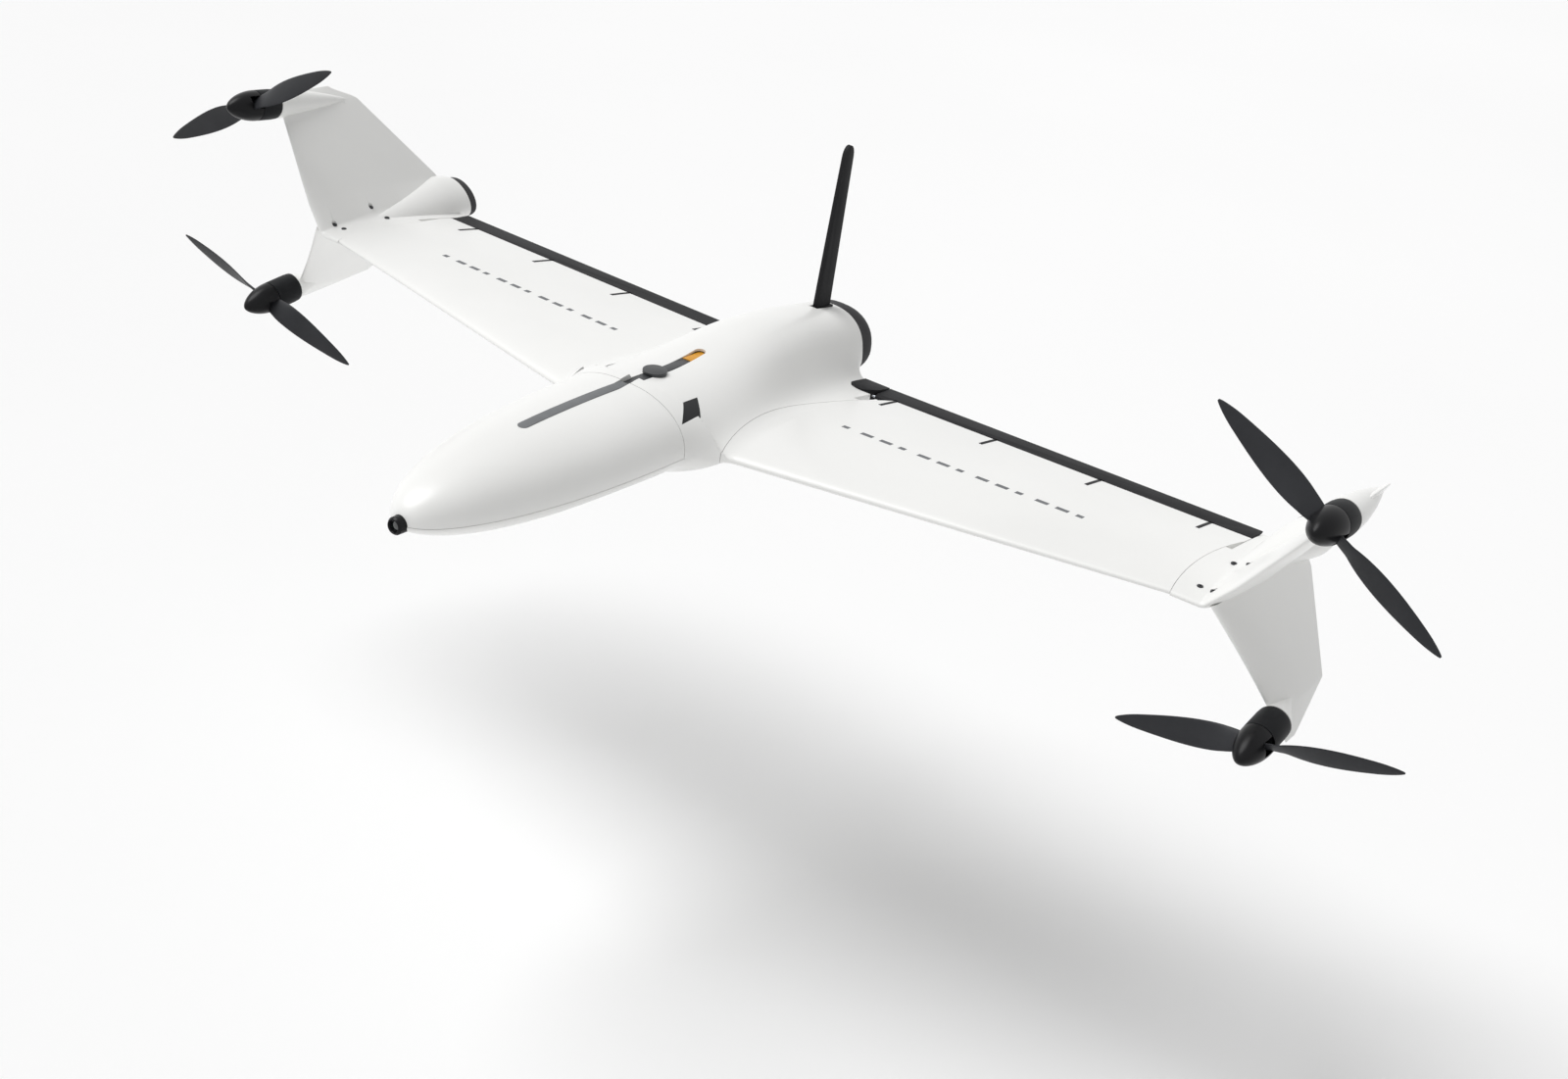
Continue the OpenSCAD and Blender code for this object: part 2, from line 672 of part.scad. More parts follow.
// ---- nose sensor
module sensor_barrel() color(black) row() {
  translate([0, sensor_back, sensor_z]) rotate([90, 0, 0]) difference() {
    union() {
      cylinder(h = 10.5, r = sensor_r);
      translate([0, 0, 10.5]) cylinder(h = 1.5, r1 = sensor_r, r2 = sensor_r - 1.2);
    }
    translate([0, 0, 7.5]) cylinder(h = 10, r = 3.6);
    translate([0, 0, 10.6]) cylinder(h = 2, r1 = 3.6, r2 = 4.6);
  }
}
module sensor_lens() color(black) row() {
  translate([0, sensor_back - 7.5, sensor_z]) rotate([90, 0, 0]) intersection() {
    cylinder(h = 4, r = 3.6);
    translate([0, 0, -5.2]) sphere(r = 8.2, $fn = 64);
  }
}

win_ys = [seam_y, seam_y + 15, seam_y + 29, seam_y + 41];
module side_windows() color(black) row() both() {
  intersection() {
    difference() {
      skin([for (y = win_ys) body_ring(y, 0, ring_n)]);
      skin([for (y = win_ys) body_ring(y, shell_t, ring_n)]);
    }
    window_cut();
  }
}

// ---- rubber caps that the drone stands on
cap_round = 12;
function cap_inset(y) = let(d = max(0, y - (tail_y - cap_round)))
  cap_round - sqrt(max(0, cap_round * cap_round - d * d));
cap_face = 9;
module tail_cap() color(black) row() difference() {
  skin([for (y = [rim_y, tail_y - 12, tail_y - 9, tail_y - 6.6, tail_y - 4.4, tail_y - 2.4,
      tail_y - 1, tail_y])
    body_ring(min(y, tail_y), min(cap_inset(y), cap_face + 0.4 * (y - tail_y + 1.4)), ring_n)]);
}
// Shares of the pod's section that the cap has where it starts and at its flat rear face.
cap_start = pod_rim - 0.02;
cap_end = 0.5;
module pod_cap() {
  skin([for (q = [0 : 0.2 : 1])
    pod_ring(mix(tail_y, pod_y, q * q), mix(cap_end, cap_start, sqrt(q * (2 - q))),
      1 - cap_start)]);
}
module pod_caps() color(black) row() both() pod_cap();

// ---- antenna
foot_w = 8;
foot_l = 22;
module antenna_plug(extra) {
  translate([-foot_w / 2 - extra, -12 - extra, 25])
    cube([foot_w + 2 * extra, foot_l + 2 * extra, 30]);
}
antenna_y = tail_y - 37.5;
module antenna_foot() color(charcoal) row() {
  z0 = top_z(antenna_y + 10) - 3.2;
  translate([-foot_w / 2, antenna_y - 12, z0]) cube([foot_w, foot_l, top_z(antenna_y) + 0.4 - z0]);
}
module antenna_blade() color(charcoal) row() {
  z0 = top_z(antenna_y) + 0.4;
  h = antenna_top - z0;
  translate([0, antenna_y, z0]) {
    intersection() {
      rotate([90, 0, 90]) linear_extrude(height = 5, center = true)
        polygon(concat([[-9.5, 0], [8.5, 0]],
          [for (a = [0 : 20 : 180]) [2.8 + 6 * cos(a), h - 9 + 9 * sin(a)]]));
      skin([for (q = [[1, 1.5], [0.5, 2], [0, 2.4]])
        [for (a = [0 : 15 : 345]) [q[1] * sgn_pow(cos(a), 0.7), 13 * sgn_pow(sin(a), 0.9), h * q[0]]]]);
    }
  }
}

// ---- payload and electronics
module equipment_tray() color(charcoal) row() difference() {
  union() {
    translate([-tray_w / 2, tray_y0, tray_z]) cube([tray_w, tray_mid - tray_y0, tray_t]);
    translate([-0.4 * tray_w, tray_mid - 1, tray_z]) cube([0.8 * tray_w, tray_y1 - tray_mid + 1, tray_t]);
    for (y = [-293, -184]) translate([-tray_w / 2, y, tray_z]) cube([tray_w, 2, 5]);
  }
  translate([-cam_w / 2 - 5, cam_y - cam_l / 2 - 5, -50]) cube([cam_w + 10, cam_l + 10, 60]);
}
bat_w = 38;
bat_l = 106;
bat_h = 24;
bat_y = -290.5;
floor_z = tray_z + tray_t;
module battery() color(charcoal) row() difference() {
  translate([-bat_w / 2, bat_y, floor_z]) cube([bat_w, bat_l, bat_h]);
  translate([0, bat_y + bat_l - 4, floor_z + lead_z]) rotate([-90, 0, 0])
    cylinder(h = 10, r = lead_r + 0.05);
}
module battery_strap() color(grey) row() translate([0, bat_y + 45, floor_z]) difference() {
  translate([-bat_w / 2 - 1.5, 0, 0]) cube([bat_w + 3, 18, bat_h + 1.5]);
  translate([-bat_w / 2, -1, -1]) cube([bat_w, 20, bat_h + 1]);
}
// Two straight runs and a bend. The joint balls stand a little proud, so every edge is a circle.
lead_r = 2;
ball_r = 2.12;
lead_z = 8.2;
lead_run = 46;
module power_lead() color("#a02020") row() {
  translate([0, bat_y + bat_l - 4, floor_z + lead_z]) rotate([-90, 0, 0]) {
    cylinder(h = 10, r = lead_r);
    translate([0, 0, 10]) {
      sphere(r = ball_r);
      rotate([-45, 0, 0]) cylinder(h = 8.49, r = lead_r);
    }
    translate([0, 6, 16]) {
      sphere(r = ball_r);
      cylinder(h = lead_run, r = lead_r);
    }
  }
}
module esc_boards() color(green) row() {
  for (x = [-14, 14]) for (y = [-166, -137])
    translate([x - 10.5, y - 13, floor_z]) cube([21, 26, 5]);
}
module autopilot() color(green) row() {
  translate([-16, -72, floor_z]) cube([32, 42, 3]);
  translate([-12, -68, floor_z + 3]) cube([24, 34, 8]);
}
module radio_module() color(charcoal) row() translate([-19, -8, floor_z]) cube([38, 38, 9]);
module gps_module() color(green) row() {
  translate([-gps_w / 2, gps_y - gps_w / 2, gps_z]) cube([gps_w, gps_w, 9]);
}
module camera_body() color(charcoal) row() difference() {
  translate([-19, cam_y - 14, cam_z]) cube([38, 28, 20]);
  for (x = [-9, 9]) translate([x, cam_y, cam_z - 0.5]) cylinder(h = 6, r = 6);
}
module camera_lenses() color(black) row() {
  for (x = [-9, 9]) translate([x, cam_y, cam_z - 2.1]) difference() {
    cylinder(h = 7.6, r = 6);
    translate([0, 0, -1]) cylinder(h = 2, r = 4);
  }
}
module belly_window() color(black) row() {
  translate([-cam_w / 2, cam_y - cam_l / 2, pane_z]) cube([cam_w, cam_l, pane_t]);
}
module belly_pin() color(black) row() {
  x = 120;
  y = -67;
  u = (y - wing_le(x)) / wing_chord(x);
  z = wing_mid(u, x) - foil_half(u, wing_chord(x), wing_thick) - 0.15;
  translate([x, y, z]) rotate([180, 0, 0]) {
    cylinder(h = 4, r = 2.6);
    cylinder(h = 9, r1 = 1.8, r2 = 1.4);
    translate([0, 0, 9]) sphere(r = 1.4);
  }
}
servo_y = hinge_y(rod_x0);
module servos() color(charcoal) row() both() difference() {
  translate([6, servo_y - 6, hinge_z - 4]) cube([18, 12, 10.5]);
  hinge_bar(20, 60) circle(r = rod_r + 0.05);
}

// ---- screws in the top of each tip block, as [x, y, seat height]
screws = [[fin_root_x - 14.1, -23.8, -3.2], [fin_root_x - 13.2, 26, -2.2],
  [fin_root_x - 4, -25, -2.4], [fin_root_x - 0.5, 19, 4.4]];
screw_r = 1.3;
screw_len = 6;
head_r = 2.1;
head_h = 1.5;
module screw_room() {
  for (p = screws) translate([p[0], p[1], p[2] - screw_len]) {
    cylinder(h = 40, r = screw_r);
    translate([0, 0, screw_len]) cylinder(h = 40, r = head_r);
  }
}
module tip_screws() color(charcoal) row() both() {
  for (p = screws) translate([p[0], p[1], p[2] - screw_len]) difference() {
    union() {
      cylinder(h = screw_len + 0.2, r = screw_r);
      translate([0, 0, screw_len]) cylinder(h = head_h, r = head_r);
    }
    translate([0, 0, screw_len + 0.6]) cylinder(h = 3, r = 1, $fn = 6);
  }
}

// ---- spars and harness
module tube(r, wall, len, y, z) difference() {
  spar_room(r, len, y, z);
  spar_room(r - wall, len + 1, y, z);
}
module main_spar() color(charcoal) row() tube(spar_r, 1, spar_len, spar_y, spar_z);
module rear_spar() color(charcoal) row() tube(rear_spar_r, 0.8, rear_spar_len, rear_spar_y, rear_spar_z);
module motor_harness() color(charcoal) row() spar_room(harness_r, tip_x + 22, harness_y, harness_z);

// ---- drive unit, built along +Z with the spinner joint at 0
shaft_r = 1.5;
rotor_r = 10.8;
hub_z = 4.8;
hub_half = 3.4;
module cowl(len) difference() {
  translate([0, 0, -len]) rotate_extrude() polygon([[0, 0], [nacelle_r - 1, 0], [nacelle_r - 0.3, 1.2],
    [nacelle_r, 5], [nacelle_r, len - 0.8], [nacelle_r - cowl_wall, len - 0.8],
    [nacelle_r - cowl_wall, 1.6], [0, 1.6]]);
  for (a = [0 : 90 : 270]) rotate([0, 0, a + 45]) translate([8, 0, -len - 1]) cylinder(h = 4, r = 0.8);
}
module motor_cowls() color(black) row() both() {
  at_upper() cowl(upper_cowl);
  at_lower() cowl(lower_cowl);
}
module stator(len) translate([0, 0, -len + 1.6]) difference() {
  union() {
    cylinder(h = 1.6, r = 9.6);
    cylinder(h = len - 9, r = 3);
    translate([0, 0, 2.6]) for (a = [0 : 30 : 330]) rotate([0, 0, a])
      translate([0, -0.9, 0]) cube([7.4, 1.8, len - 12.5]);
    translate([0, 0, 2.6]) difference() {
      cylinder(h = len - 12.5, r = 8.6);
      translate([0, 0, -1]) cylinder(h = len, r = 7.2);
    }
  }
  translate([0, 0, -1]) cylinder(h = len, r = shaft_r + 0.05);
}
module motor_stators() color("#b87333") row() both() {
  at_upper() stator(upper_cowl);
  at_lower() stator(lower_cowl);
}
module rotor(len) color(grey) {
  difference() {
    translate([0, 0, -len + 4]) cylinder(h = len - 5, r = rotor_r);
    translate([0, 0, -len + 3]) cylinder(h = len - 6, r = rotor_r - 1.5);
  }
  translate([0, 0, -len + 2]) cylinder(h = len + 11, r = shaft_r);
}
function pitch_at(r) = min(42, atan(114 / (2 * 180 / 57.2958 * r)));
function blade_c(t) = 10 + 10.5 * sin(180 * pow(t, 0.75)) - 4.5 * t;
function blade_ring(r, c, b, thick) = [for (i = [0 : 11]) let(a = 30 * i,
    p = c / 2 * cos(a), q = thick / 2 * sin(a))
  [r, p * cos(b) - q * sin(b), p * sin(b) + q * cos(b)]];
module blade() {
  ts = [0, 0.06, 0.16, 0.3, 0.46, 0.62, 0.78, 0.9, 0.97, 1];
  skin([for (i = [len(ts) - 1 : -1 : 0]) let(t = ts[i], r = mix(3.5, prop_r, t))
    blade_ring(r, blade_c(t) * (t > 0.8 ? sqrt(max(0.06, 1 - pow((t - 0.8) / 0.205, 2.6))) : 1),
      pitch_at(r), mix(3, 1, pow(t, 0.5)))]);
}
module prop() translate([0, 0, hub_z]) difference() {
  union() {
    translate([0, 0, -hub_half]) cylinder(h = 2 * hub_half, r = 5);
    blade();
    rotate([0, 0, 180]) blade();
  }
  translate([0, 0, -20]) cylinder(h = 40, r = shaft_r);
}
function ogive(t) = nacelle_r * pow(1 - pow(t, 1.9), 0.62);
module spinner() difference() {
  rotate_extrude() polygon(concat([[0, 0]], [for (t = [0 : 0.04 : 0.96]) [ogive(t), spinner_len * t]],
    [[ogive(0.985), spinner_len * 0.985], [0, spinner_len]]));
  translate([0, 0, 1.2]) rotate_extrude() polygon(concat([[0, 0]], [for (t = [0 : 0.1 : 0.8])
    [ogive(t) - 1.2, (spinner_len - 1.2) * t]], [[0, spinner_len * 0.82]]));
  translate([0, 0, -1]) cylinder(h = 4, r = 5.2);
  for (a = [0, 180]) rotate([0, 0, a]) translate([4, -5.4, -1]) cube([12, 10.8, 11.4]);
}
// Blades rest at the angle seen in the photo; the right side mirrors the left.
module upper_set() at_upper() rotate([0, 0, -rest_upper]) children();
module lower_set() at_lower() rotate([0, 0, rest_lower]) children();

main_hull();
nose_cover();
grip_strip();
latch_tongue();
latch_housing();
latch_lever();
lever_tab();
latch_pin();
sensor_barrel();
sensor_lens();
side_windows();
tail_cap();
antenna_blade();
antenna_foot();
camera_body();
camera_lenses();
belly_window();
belly_pin();
equipment_tray();
battery();
battery_strap();
power_lead();
esc_boards();
autopilot();
radio_module();
gps_module();
servos();
color(grey) row() mirror([1, 0, 0]) torque_rod();  // torque_rod_left
color(grey) row() torque_rod();  // torque_rod_right
color(white) row() mirror([1, 0, 0]) wing();  // wing_left
color(white) row() wing();  // wing_right
color(charcoal) row() mirror([1, 0, 0]) elevon();  // elevon_left
color(charcoal) row() elevon();  // elevon_right
color(charcoal) row() both() for (x = tabs) tab(x);  // hinge_tabs
color(grey) row() mirror([1, 0, 0]) hinge_pins();  // hinge_pins_left
color(grey) row() hinge_pins();  // hinge_pins_right
color(charcoal) row() both() root_block();  // root_blocks
main_spar();
rear_spar();
motor_harness();
color(white) row() mirror([1, 0, 0]) winglet();  // winglet_left
color(white) row() winglet();  // winglet_right
pod_caps();
tip_screws();
motor_cowls();
motor_stators();
row() mirror([1, 0, 0]) upper_set() rotor(upper_cowl);  // rotor_upper_left
row() upper_set() rotor(upper_cowl);  // rotor_upper_right
row() mirror([1, 0, 0]) lower_set() rotor(lower_cowl);  // rotor_lower_left
row() lower_set() rotor(lower_cowl);  // rotor_lower_right
color(black) row() mirror([1, 0, 0]) upper_set() prop();  // prop_upper_left
color(black) row() upper_set() prop();  // prop_upper_right
color(black) row() mirror([1, 0, 0]) lower_set() prop();  // prop_lower_left
color(black) row() lower_set() prop();  // prop_lower_right
color(black) row() mirror([1, 0, 0]) upper_set() spinner();  // spinner_upper_left
color(black) row() upper_set() spinner();  // spinner_upper_right
color(black) row() mirror([1, 0, 0]) lower_set() spinner();  // spinner_lower_left
color(black) row() lower_set() spinner();  // spinner_lower_right
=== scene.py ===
"""Looks of the tail-sitting survey drone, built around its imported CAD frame.

Lengths in the formulas are millimetres in the flight frame of the part's source (nose -Y, up +Z);
Place.row turns them into the metres of the row frame.
"""

import json
import logging
import math
from dataclasses import dataclass
from enum import Enum
from typing import Callable, Iterable, Sequence

import bmesh
import bpy
import numpy as np
from mathutils import Matrix, Vector
from mathutils.bvhtree import BVHTree
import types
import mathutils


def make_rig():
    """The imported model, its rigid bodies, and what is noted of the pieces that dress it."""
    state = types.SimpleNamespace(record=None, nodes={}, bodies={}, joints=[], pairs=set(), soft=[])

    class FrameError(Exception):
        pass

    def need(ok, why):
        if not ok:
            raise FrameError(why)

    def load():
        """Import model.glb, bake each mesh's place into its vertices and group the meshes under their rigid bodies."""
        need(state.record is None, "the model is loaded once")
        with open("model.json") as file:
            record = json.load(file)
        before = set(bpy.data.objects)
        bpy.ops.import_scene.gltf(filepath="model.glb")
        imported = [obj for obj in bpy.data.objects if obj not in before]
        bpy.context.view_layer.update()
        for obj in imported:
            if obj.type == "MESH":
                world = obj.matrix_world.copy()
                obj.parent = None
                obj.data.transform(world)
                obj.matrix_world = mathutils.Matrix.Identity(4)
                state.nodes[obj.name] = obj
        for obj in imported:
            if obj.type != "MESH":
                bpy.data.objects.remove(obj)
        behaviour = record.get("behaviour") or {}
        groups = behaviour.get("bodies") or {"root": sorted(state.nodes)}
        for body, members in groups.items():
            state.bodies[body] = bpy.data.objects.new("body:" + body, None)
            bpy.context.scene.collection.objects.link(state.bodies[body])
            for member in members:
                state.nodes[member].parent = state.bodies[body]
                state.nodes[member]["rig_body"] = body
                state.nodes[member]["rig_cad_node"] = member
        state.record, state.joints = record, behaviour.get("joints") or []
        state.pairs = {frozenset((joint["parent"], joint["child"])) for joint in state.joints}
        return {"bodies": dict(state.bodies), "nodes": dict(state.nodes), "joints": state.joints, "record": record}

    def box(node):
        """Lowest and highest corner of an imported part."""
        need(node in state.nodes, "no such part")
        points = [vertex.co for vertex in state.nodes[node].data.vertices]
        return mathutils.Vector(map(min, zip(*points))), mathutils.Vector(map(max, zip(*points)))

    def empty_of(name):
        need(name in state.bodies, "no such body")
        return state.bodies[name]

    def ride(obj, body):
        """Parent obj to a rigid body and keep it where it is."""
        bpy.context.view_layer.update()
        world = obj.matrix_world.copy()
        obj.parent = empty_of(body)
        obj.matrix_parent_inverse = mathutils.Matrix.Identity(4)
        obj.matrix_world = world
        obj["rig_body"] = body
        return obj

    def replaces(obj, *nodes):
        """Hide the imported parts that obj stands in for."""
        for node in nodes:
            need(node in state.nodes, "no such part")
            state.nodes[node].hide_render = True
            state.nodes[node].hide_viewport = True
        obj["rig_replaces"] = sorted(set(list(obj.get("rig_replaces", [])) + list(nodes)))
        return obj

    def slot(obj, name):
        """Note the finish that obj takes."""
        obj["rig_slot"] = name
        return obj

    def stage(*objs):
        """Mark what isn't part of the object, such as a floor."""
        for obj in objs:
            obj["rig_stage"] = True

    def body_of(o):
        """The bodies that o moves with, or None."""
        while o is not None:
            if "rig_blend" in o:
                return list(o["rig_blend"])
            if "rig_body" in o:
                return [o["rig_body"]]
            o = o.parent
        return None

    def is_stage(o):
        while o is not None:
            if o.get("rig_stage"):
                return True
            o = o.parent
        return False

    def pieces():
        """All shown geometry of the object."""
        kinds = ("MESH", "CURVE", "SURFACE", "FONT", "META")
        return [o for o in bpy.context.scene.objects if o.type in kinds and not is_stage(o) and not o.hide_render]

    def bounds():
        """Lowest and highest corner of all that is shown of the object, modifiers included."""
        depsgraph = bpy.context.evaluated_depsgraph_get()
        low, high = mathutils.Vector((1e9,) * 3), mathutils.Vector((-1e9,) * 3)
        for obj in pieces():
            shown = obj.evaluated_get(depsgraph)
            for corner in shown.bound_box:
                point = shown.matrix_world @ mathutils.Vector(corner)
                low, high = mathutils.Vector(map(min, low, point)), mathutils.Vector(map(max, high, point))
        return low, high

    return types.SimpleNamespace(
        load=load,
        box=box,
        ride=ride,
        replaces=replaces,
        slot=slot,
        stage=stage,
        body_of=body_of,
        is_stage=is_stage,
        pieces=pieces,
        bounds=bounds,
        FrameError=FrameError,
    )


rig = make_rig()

logging.basicConfig(level=logging.INFO, format="%(message)s")
log = logging.getLogger("drone")

# ---------------------------------------------------------------- image points and camera

FRAME_W, FRAME_H = 1568, 1079
POINTS: dict[str, tuple[float, float]] = {
    "left_edge": (173, 137), "right_edge": (1442, 657), "top_edge": (328, 70), "bottom_edge": (1391, 775),
    "nose_sensor": (399, 523), "spinner_upper_left": (227, 108), "spinner_upper_right": (1313, 534),
    "spinner_lower_left": (246, 308), "spinner_lower_right": (1238, 760), "antenna_top": (851, 144),
    "latch_tab": (695, 356), "grip_front": (520, 428), "side_window": (690, 414),
    "marks_left_out": (444, 255), "marks_left_in": (626, 334), "marks_right_in": (843, 426), "marks_right_out": (1097, 523),
    "strip_outer_left": (452, 223), "strip_outer_right": (1251, 540), "root_block": (866, 388),
}


@dataclass(frozen=True)
class Camera:
    """The photograph's view: where it stands, how it is turned, and its lens."""

    azimuth: float = 31.95
    elevation: float = 25.53
    roll: float = 9.32
    lens: float = 48.9626
    sensor: float = 36.0
    location: tuple[float, float, float] = (0.82773, -1.11823, 0.69134)

    def axes(self) -> Matrix:
        """The camera's right, up and back axes as the columns of a 3x3 matrix."""
        a, e, r = (math.radians(v) for v in (self.azimuth, self.elevation, self.roll))
        back = Vector((math.sin(a) * math.cos(e), -math.cos(a) * math.cos(e), math.sin(e)))
        right = Vector((math.cos(a), math.sin(a), 0.0))
        up = back.cross(right)
        turned_right = math.cos(r) * right + math.sin(r) * up
        turned_up = -math.sin(r) * right + math.cos(r) * up
        return Matrix((turned_right, turned_up, back)).transposed()

    def build(self) -> bpy.types.Object:
        """Makes the camera and sets it as the scene's.

        Returns:
            The camera object.
        """
        data = bpy.data.cameras.new("photo_camera")
        data.lens, data.sensor_width, data.sensor_fit = self.lens, self.sensor, "AUTO"
        data.clip_start, data.clip_end = 0.05, 200.0
        obj = bpy.data.objects.new("photo_camera", data)
        obj.matrix_world = Matrix.Translation(self.location) @ self.axes().to_4x4()
        bpy.context.scene.collection.objects.link(obj)
        bpy.context.scene.camera = obj
        return obj

    def project(self, p: Vector) -> tuple[float, float]:
        """Where a point in metres shows, in the points' frame."""
        d = self.axes().transposed() @ (Vector(p) - Vector(self.location))
        k = max(FRAME_W, FRAME_H) * self.lens / self.sensor / -d.z
        return FRAME_W / 2 + d.x * k, FRAME_H / 2 - d.y * k

    def ray(self, x: float, y: float) -> tuple[Vector, Vector]:
        """Origin and direction of the ray through an image point."""
        long_side = max(FRAME_W, FRAME_H)
        local = Vector((x - FRAME_W / 2, FRAME_H / 2 - y, -long_side * self.lens / self.sensor))
        return Vector(self.location), (self.axes() @ local).normalized()


# ---------------------------------------------------------------- shader helpers


def linear(code: str, alpha: float = 1.0) -> tuple[float, float, float, float]:
    """Turns an sRGB hex colour into linear RGBA.

    Args:
        code: the colour, such as "#f2f2f0".
        alpha: the fourth value.

    Returns:
        Four linear values.
    """
    parts = [int(code[i:i + 2], 16) / 255 for i in (1, 3, 5)]
    low = [v / 12.92 if v <= 0.04045 else ((v + 0.055) / 1.055) ** 2.4 for v in parts]
    return low[0], low[1], low[2], alpha


def add(tree: bpy.types.NodeTree, kind: str, links: dict | None = None, **settings: object) -> bpy.types.Node:
    """Adds one node with its settings and the links into it.

    Args:
        tree: the node tree.
        kind: the node's type name.
        links: input name or index to the output socket that feeds it.
        settings: attributes of the node, or values of its inputs by name (spaces as underscores).

    Returns:
        The node.
    """
    node = tree.nodes.new(kind)
    for key, value in settings.items():
        if hasattr(node, key):
            setattr(node, key, value)
    for key, value in settings.items():
        if not hasattr(node, key):
            index = int(key[1:]) if key[0] == "i" and key[1:].isdigit() else key.replace("_", " ")
            node.inputs[index].default_value = value
    for key, socket in (links or {}).items():
        tree.links.new(socket, node.inputs[key])
    return node


@dataclass(frozen=True)
class Finish:
    """One real material. Grain and mottle are the sizes of its patterns in millimetres.

    slot is the record's material slot; colour and second are the two ends of its colour variation;
    grain_depth is the height of the surface grain; rough_span is how far the roughness wanders.
    """

    name: str
    slot: str
    colour: str
    second: str
    roughness: float
    grain: float
    grain_depth: float
    mottle: float = 40.0
    rough_span: float = 0.06
    metallic: float = 0.0
    ior: float = 1.46
    coat: float = 0.0
    coat_roughness: float = 0.1
    sheen: float = 0.0
    stretch: tuple[float, float, float] = (1.0, 1.0, 1.0)

    def build(self) -> bpy.types.Material:
        """Builds the material's nodes, once for each name.

        Returns:
            The material.
        """
        known = bpy.data.materials.get(self.name)
        if known:
            return known
        mat = bpy.data.materials.new(self.name)
        mat.use_nodes = True
        tree = mat.node_tree
        tree.nodes.clear()
        place = add(tree, "ShaderNodeTexCoord").outputs["Object"]
        turned = add(tree, "ShaderNodeMapping", {"Vector": place}, Scale=self.stretch).outputs[0]
        shader = add(tree, "ShaderNodeBsdfPrincipled", Metallic=self.metallic, IOR=self.ior,
                     Coat_Weight=self.coat, Coat_Roughness=self.coat_roughness, Sheen_Weight=self.sheen)
        tree.links.new(self.tint(tree, turned), shader.inputs["Base Color"])
        clouds = add(tree, "ShaderNodeTexNoise", {"Vector": turned}, Scale=1000 / self.mottle * 0.7, Detail=3.0)
        rough = add(tree, "ShaderNodeMapRange", {"Value": clouds.outputs[0]},
                    i3=max(0.02, self.roughness - self.rough_span),
                    i4=min(1.0, self.roughness + self.rough_span))
        tree.links.new(rough.outputs[0], shader.inputs["Roughness"])
        tree.links.new(self.relief(tree, turned), shader.inputs["Normal"])
        add(tree, "ShaderNodeOutputMaterial", {"Surface": shader.outputs[0]})
        return mat

    def tint(self, tree: bpy.types.NodeTree, place: bpy.types.NodeSocket) -> bpy.types.NodeSocket:
        """Colour that drifts between the two ends over the mottle's size.

        Args:
            tree: the material's nodes.
            place: the mapped coordinates.

        Returns:
            The colour output.
        """
        noise = add(tree, "ShaderNodeTexNoise", {"Vector": place}, Scale=1000 / self.mottle, Detail=4.0,
                    Roughness=0.55)
        spread = add(tree, "ShaderNodeMapRange", {"Value": noise.outputs[0]}, i1=0.32, i2=0.68)
        mix = add(tree, "ShaderNodeMix", {"Factor": spread.outputs[0]}, data_type="RGBA")
        mix.inputs[6].default_value = linear(self.colour)
        mix.inputs[7].default_value = linear(self.second)
        return mix.outputs[2]

    def relief(self, tree: bpy.types.NodeTree, place: bpy.types.NodeSocket) -> bpy.types.NodeSocket:
        """Bump from the surface grain.

        Args:
            tree: the material's nodes.
            place: the mapped coordinates.

        Returns:
            The normal output.
        """
        noise = add(tree, "ShaderNodeTexNoise", {"Vector": place}, Scale=1000 / self.grain, Detail=2.0)
        bump = add(tree, "ShaderNodeBump", {"Height": noise.outputs[0]}, Strength=1.0,
                   Distance=self.grain_depth / 1000)
        return bump.outputs[0]


# ---------------------------------------------------------------- mesh helpers

Array = np.ndarray


def smooth(t: Array | float) -> Array | float:
    """Smoothstep from 0 to 1."""
    u = np.clip(t, 0.0, 1.0)
    return u * u * (3 - 2 * u)


def mix(a: float, b: float, t: Array | float) -> Array | float:
    """Straight blend from a to b."""
    return a + (b - a) * t


@dataclass(frozen=True)
class Place:
    """Where the flight frame's origin sits in the row frame, in millimetres."""

    y: float
    z: float

    def row(self, points: Array) -> Array:
        """Flight millimetres to row-frame metres."""
        return (np.asarray(points, float) + (0.0, self.y, self.z)) / 1000

    def flight(self, points: Array) -> Array:
        """Row-frame metres to flight millimetres."""
        return np.asarray(points, float) * 1000 - (0.0, self.y, self.z)


PLACE = Place(111.25, 110.977)


def mesh_object(name: str, points: Array, faces: Iterable[Sequence[int]]) -> bpy.types.Object:
    """Makes a linked object from flight-frame points.

    Args:
        name: the object's name.
        points: an N by 3 array in millimetres.
        faces: index lists.

    Returns:
        The object, its place in its mesh.
    """
    data = bpy.data.meshes.new(name)
    data.from_pydata([tuple(p) for p in PLACE.row(points)], [], [list(map(int, f)) for f in faces])
    data.update()
    obj = bpy.data.objects.new(name, data)
    bpy.context.scene.collection.objects.link(obj)
    return obj


def drop(*objs: bpy.types.Object) -> None:
    """Removes helper objects and their meshes.

    Args:
        objs: the helpers.
    """
    for obj in objs:
        data = obj.data
        bpy.data.objects.remove(obj)
        if data.users == 0:
            bpy.data.meshes.remove(data)


def outward(obj: bpy.types.Object) -> bpy.types.Object:
    """Recalculates the faces' normals to point outwards.

    Args:
        obj: the object.

    Returns:
        The same object.
    """
    bm = bmesh.new()
    bm.from_mesh(obj.data)
    bmesh.ops.remove_doubles(bm, verts=bm.verts, dist=1e-6)
    bmesh.ops.recalc_face_normals(bm, faces=bm.faces)
    bm.to_mesh(obj.data)
    bm.free()
    return obj


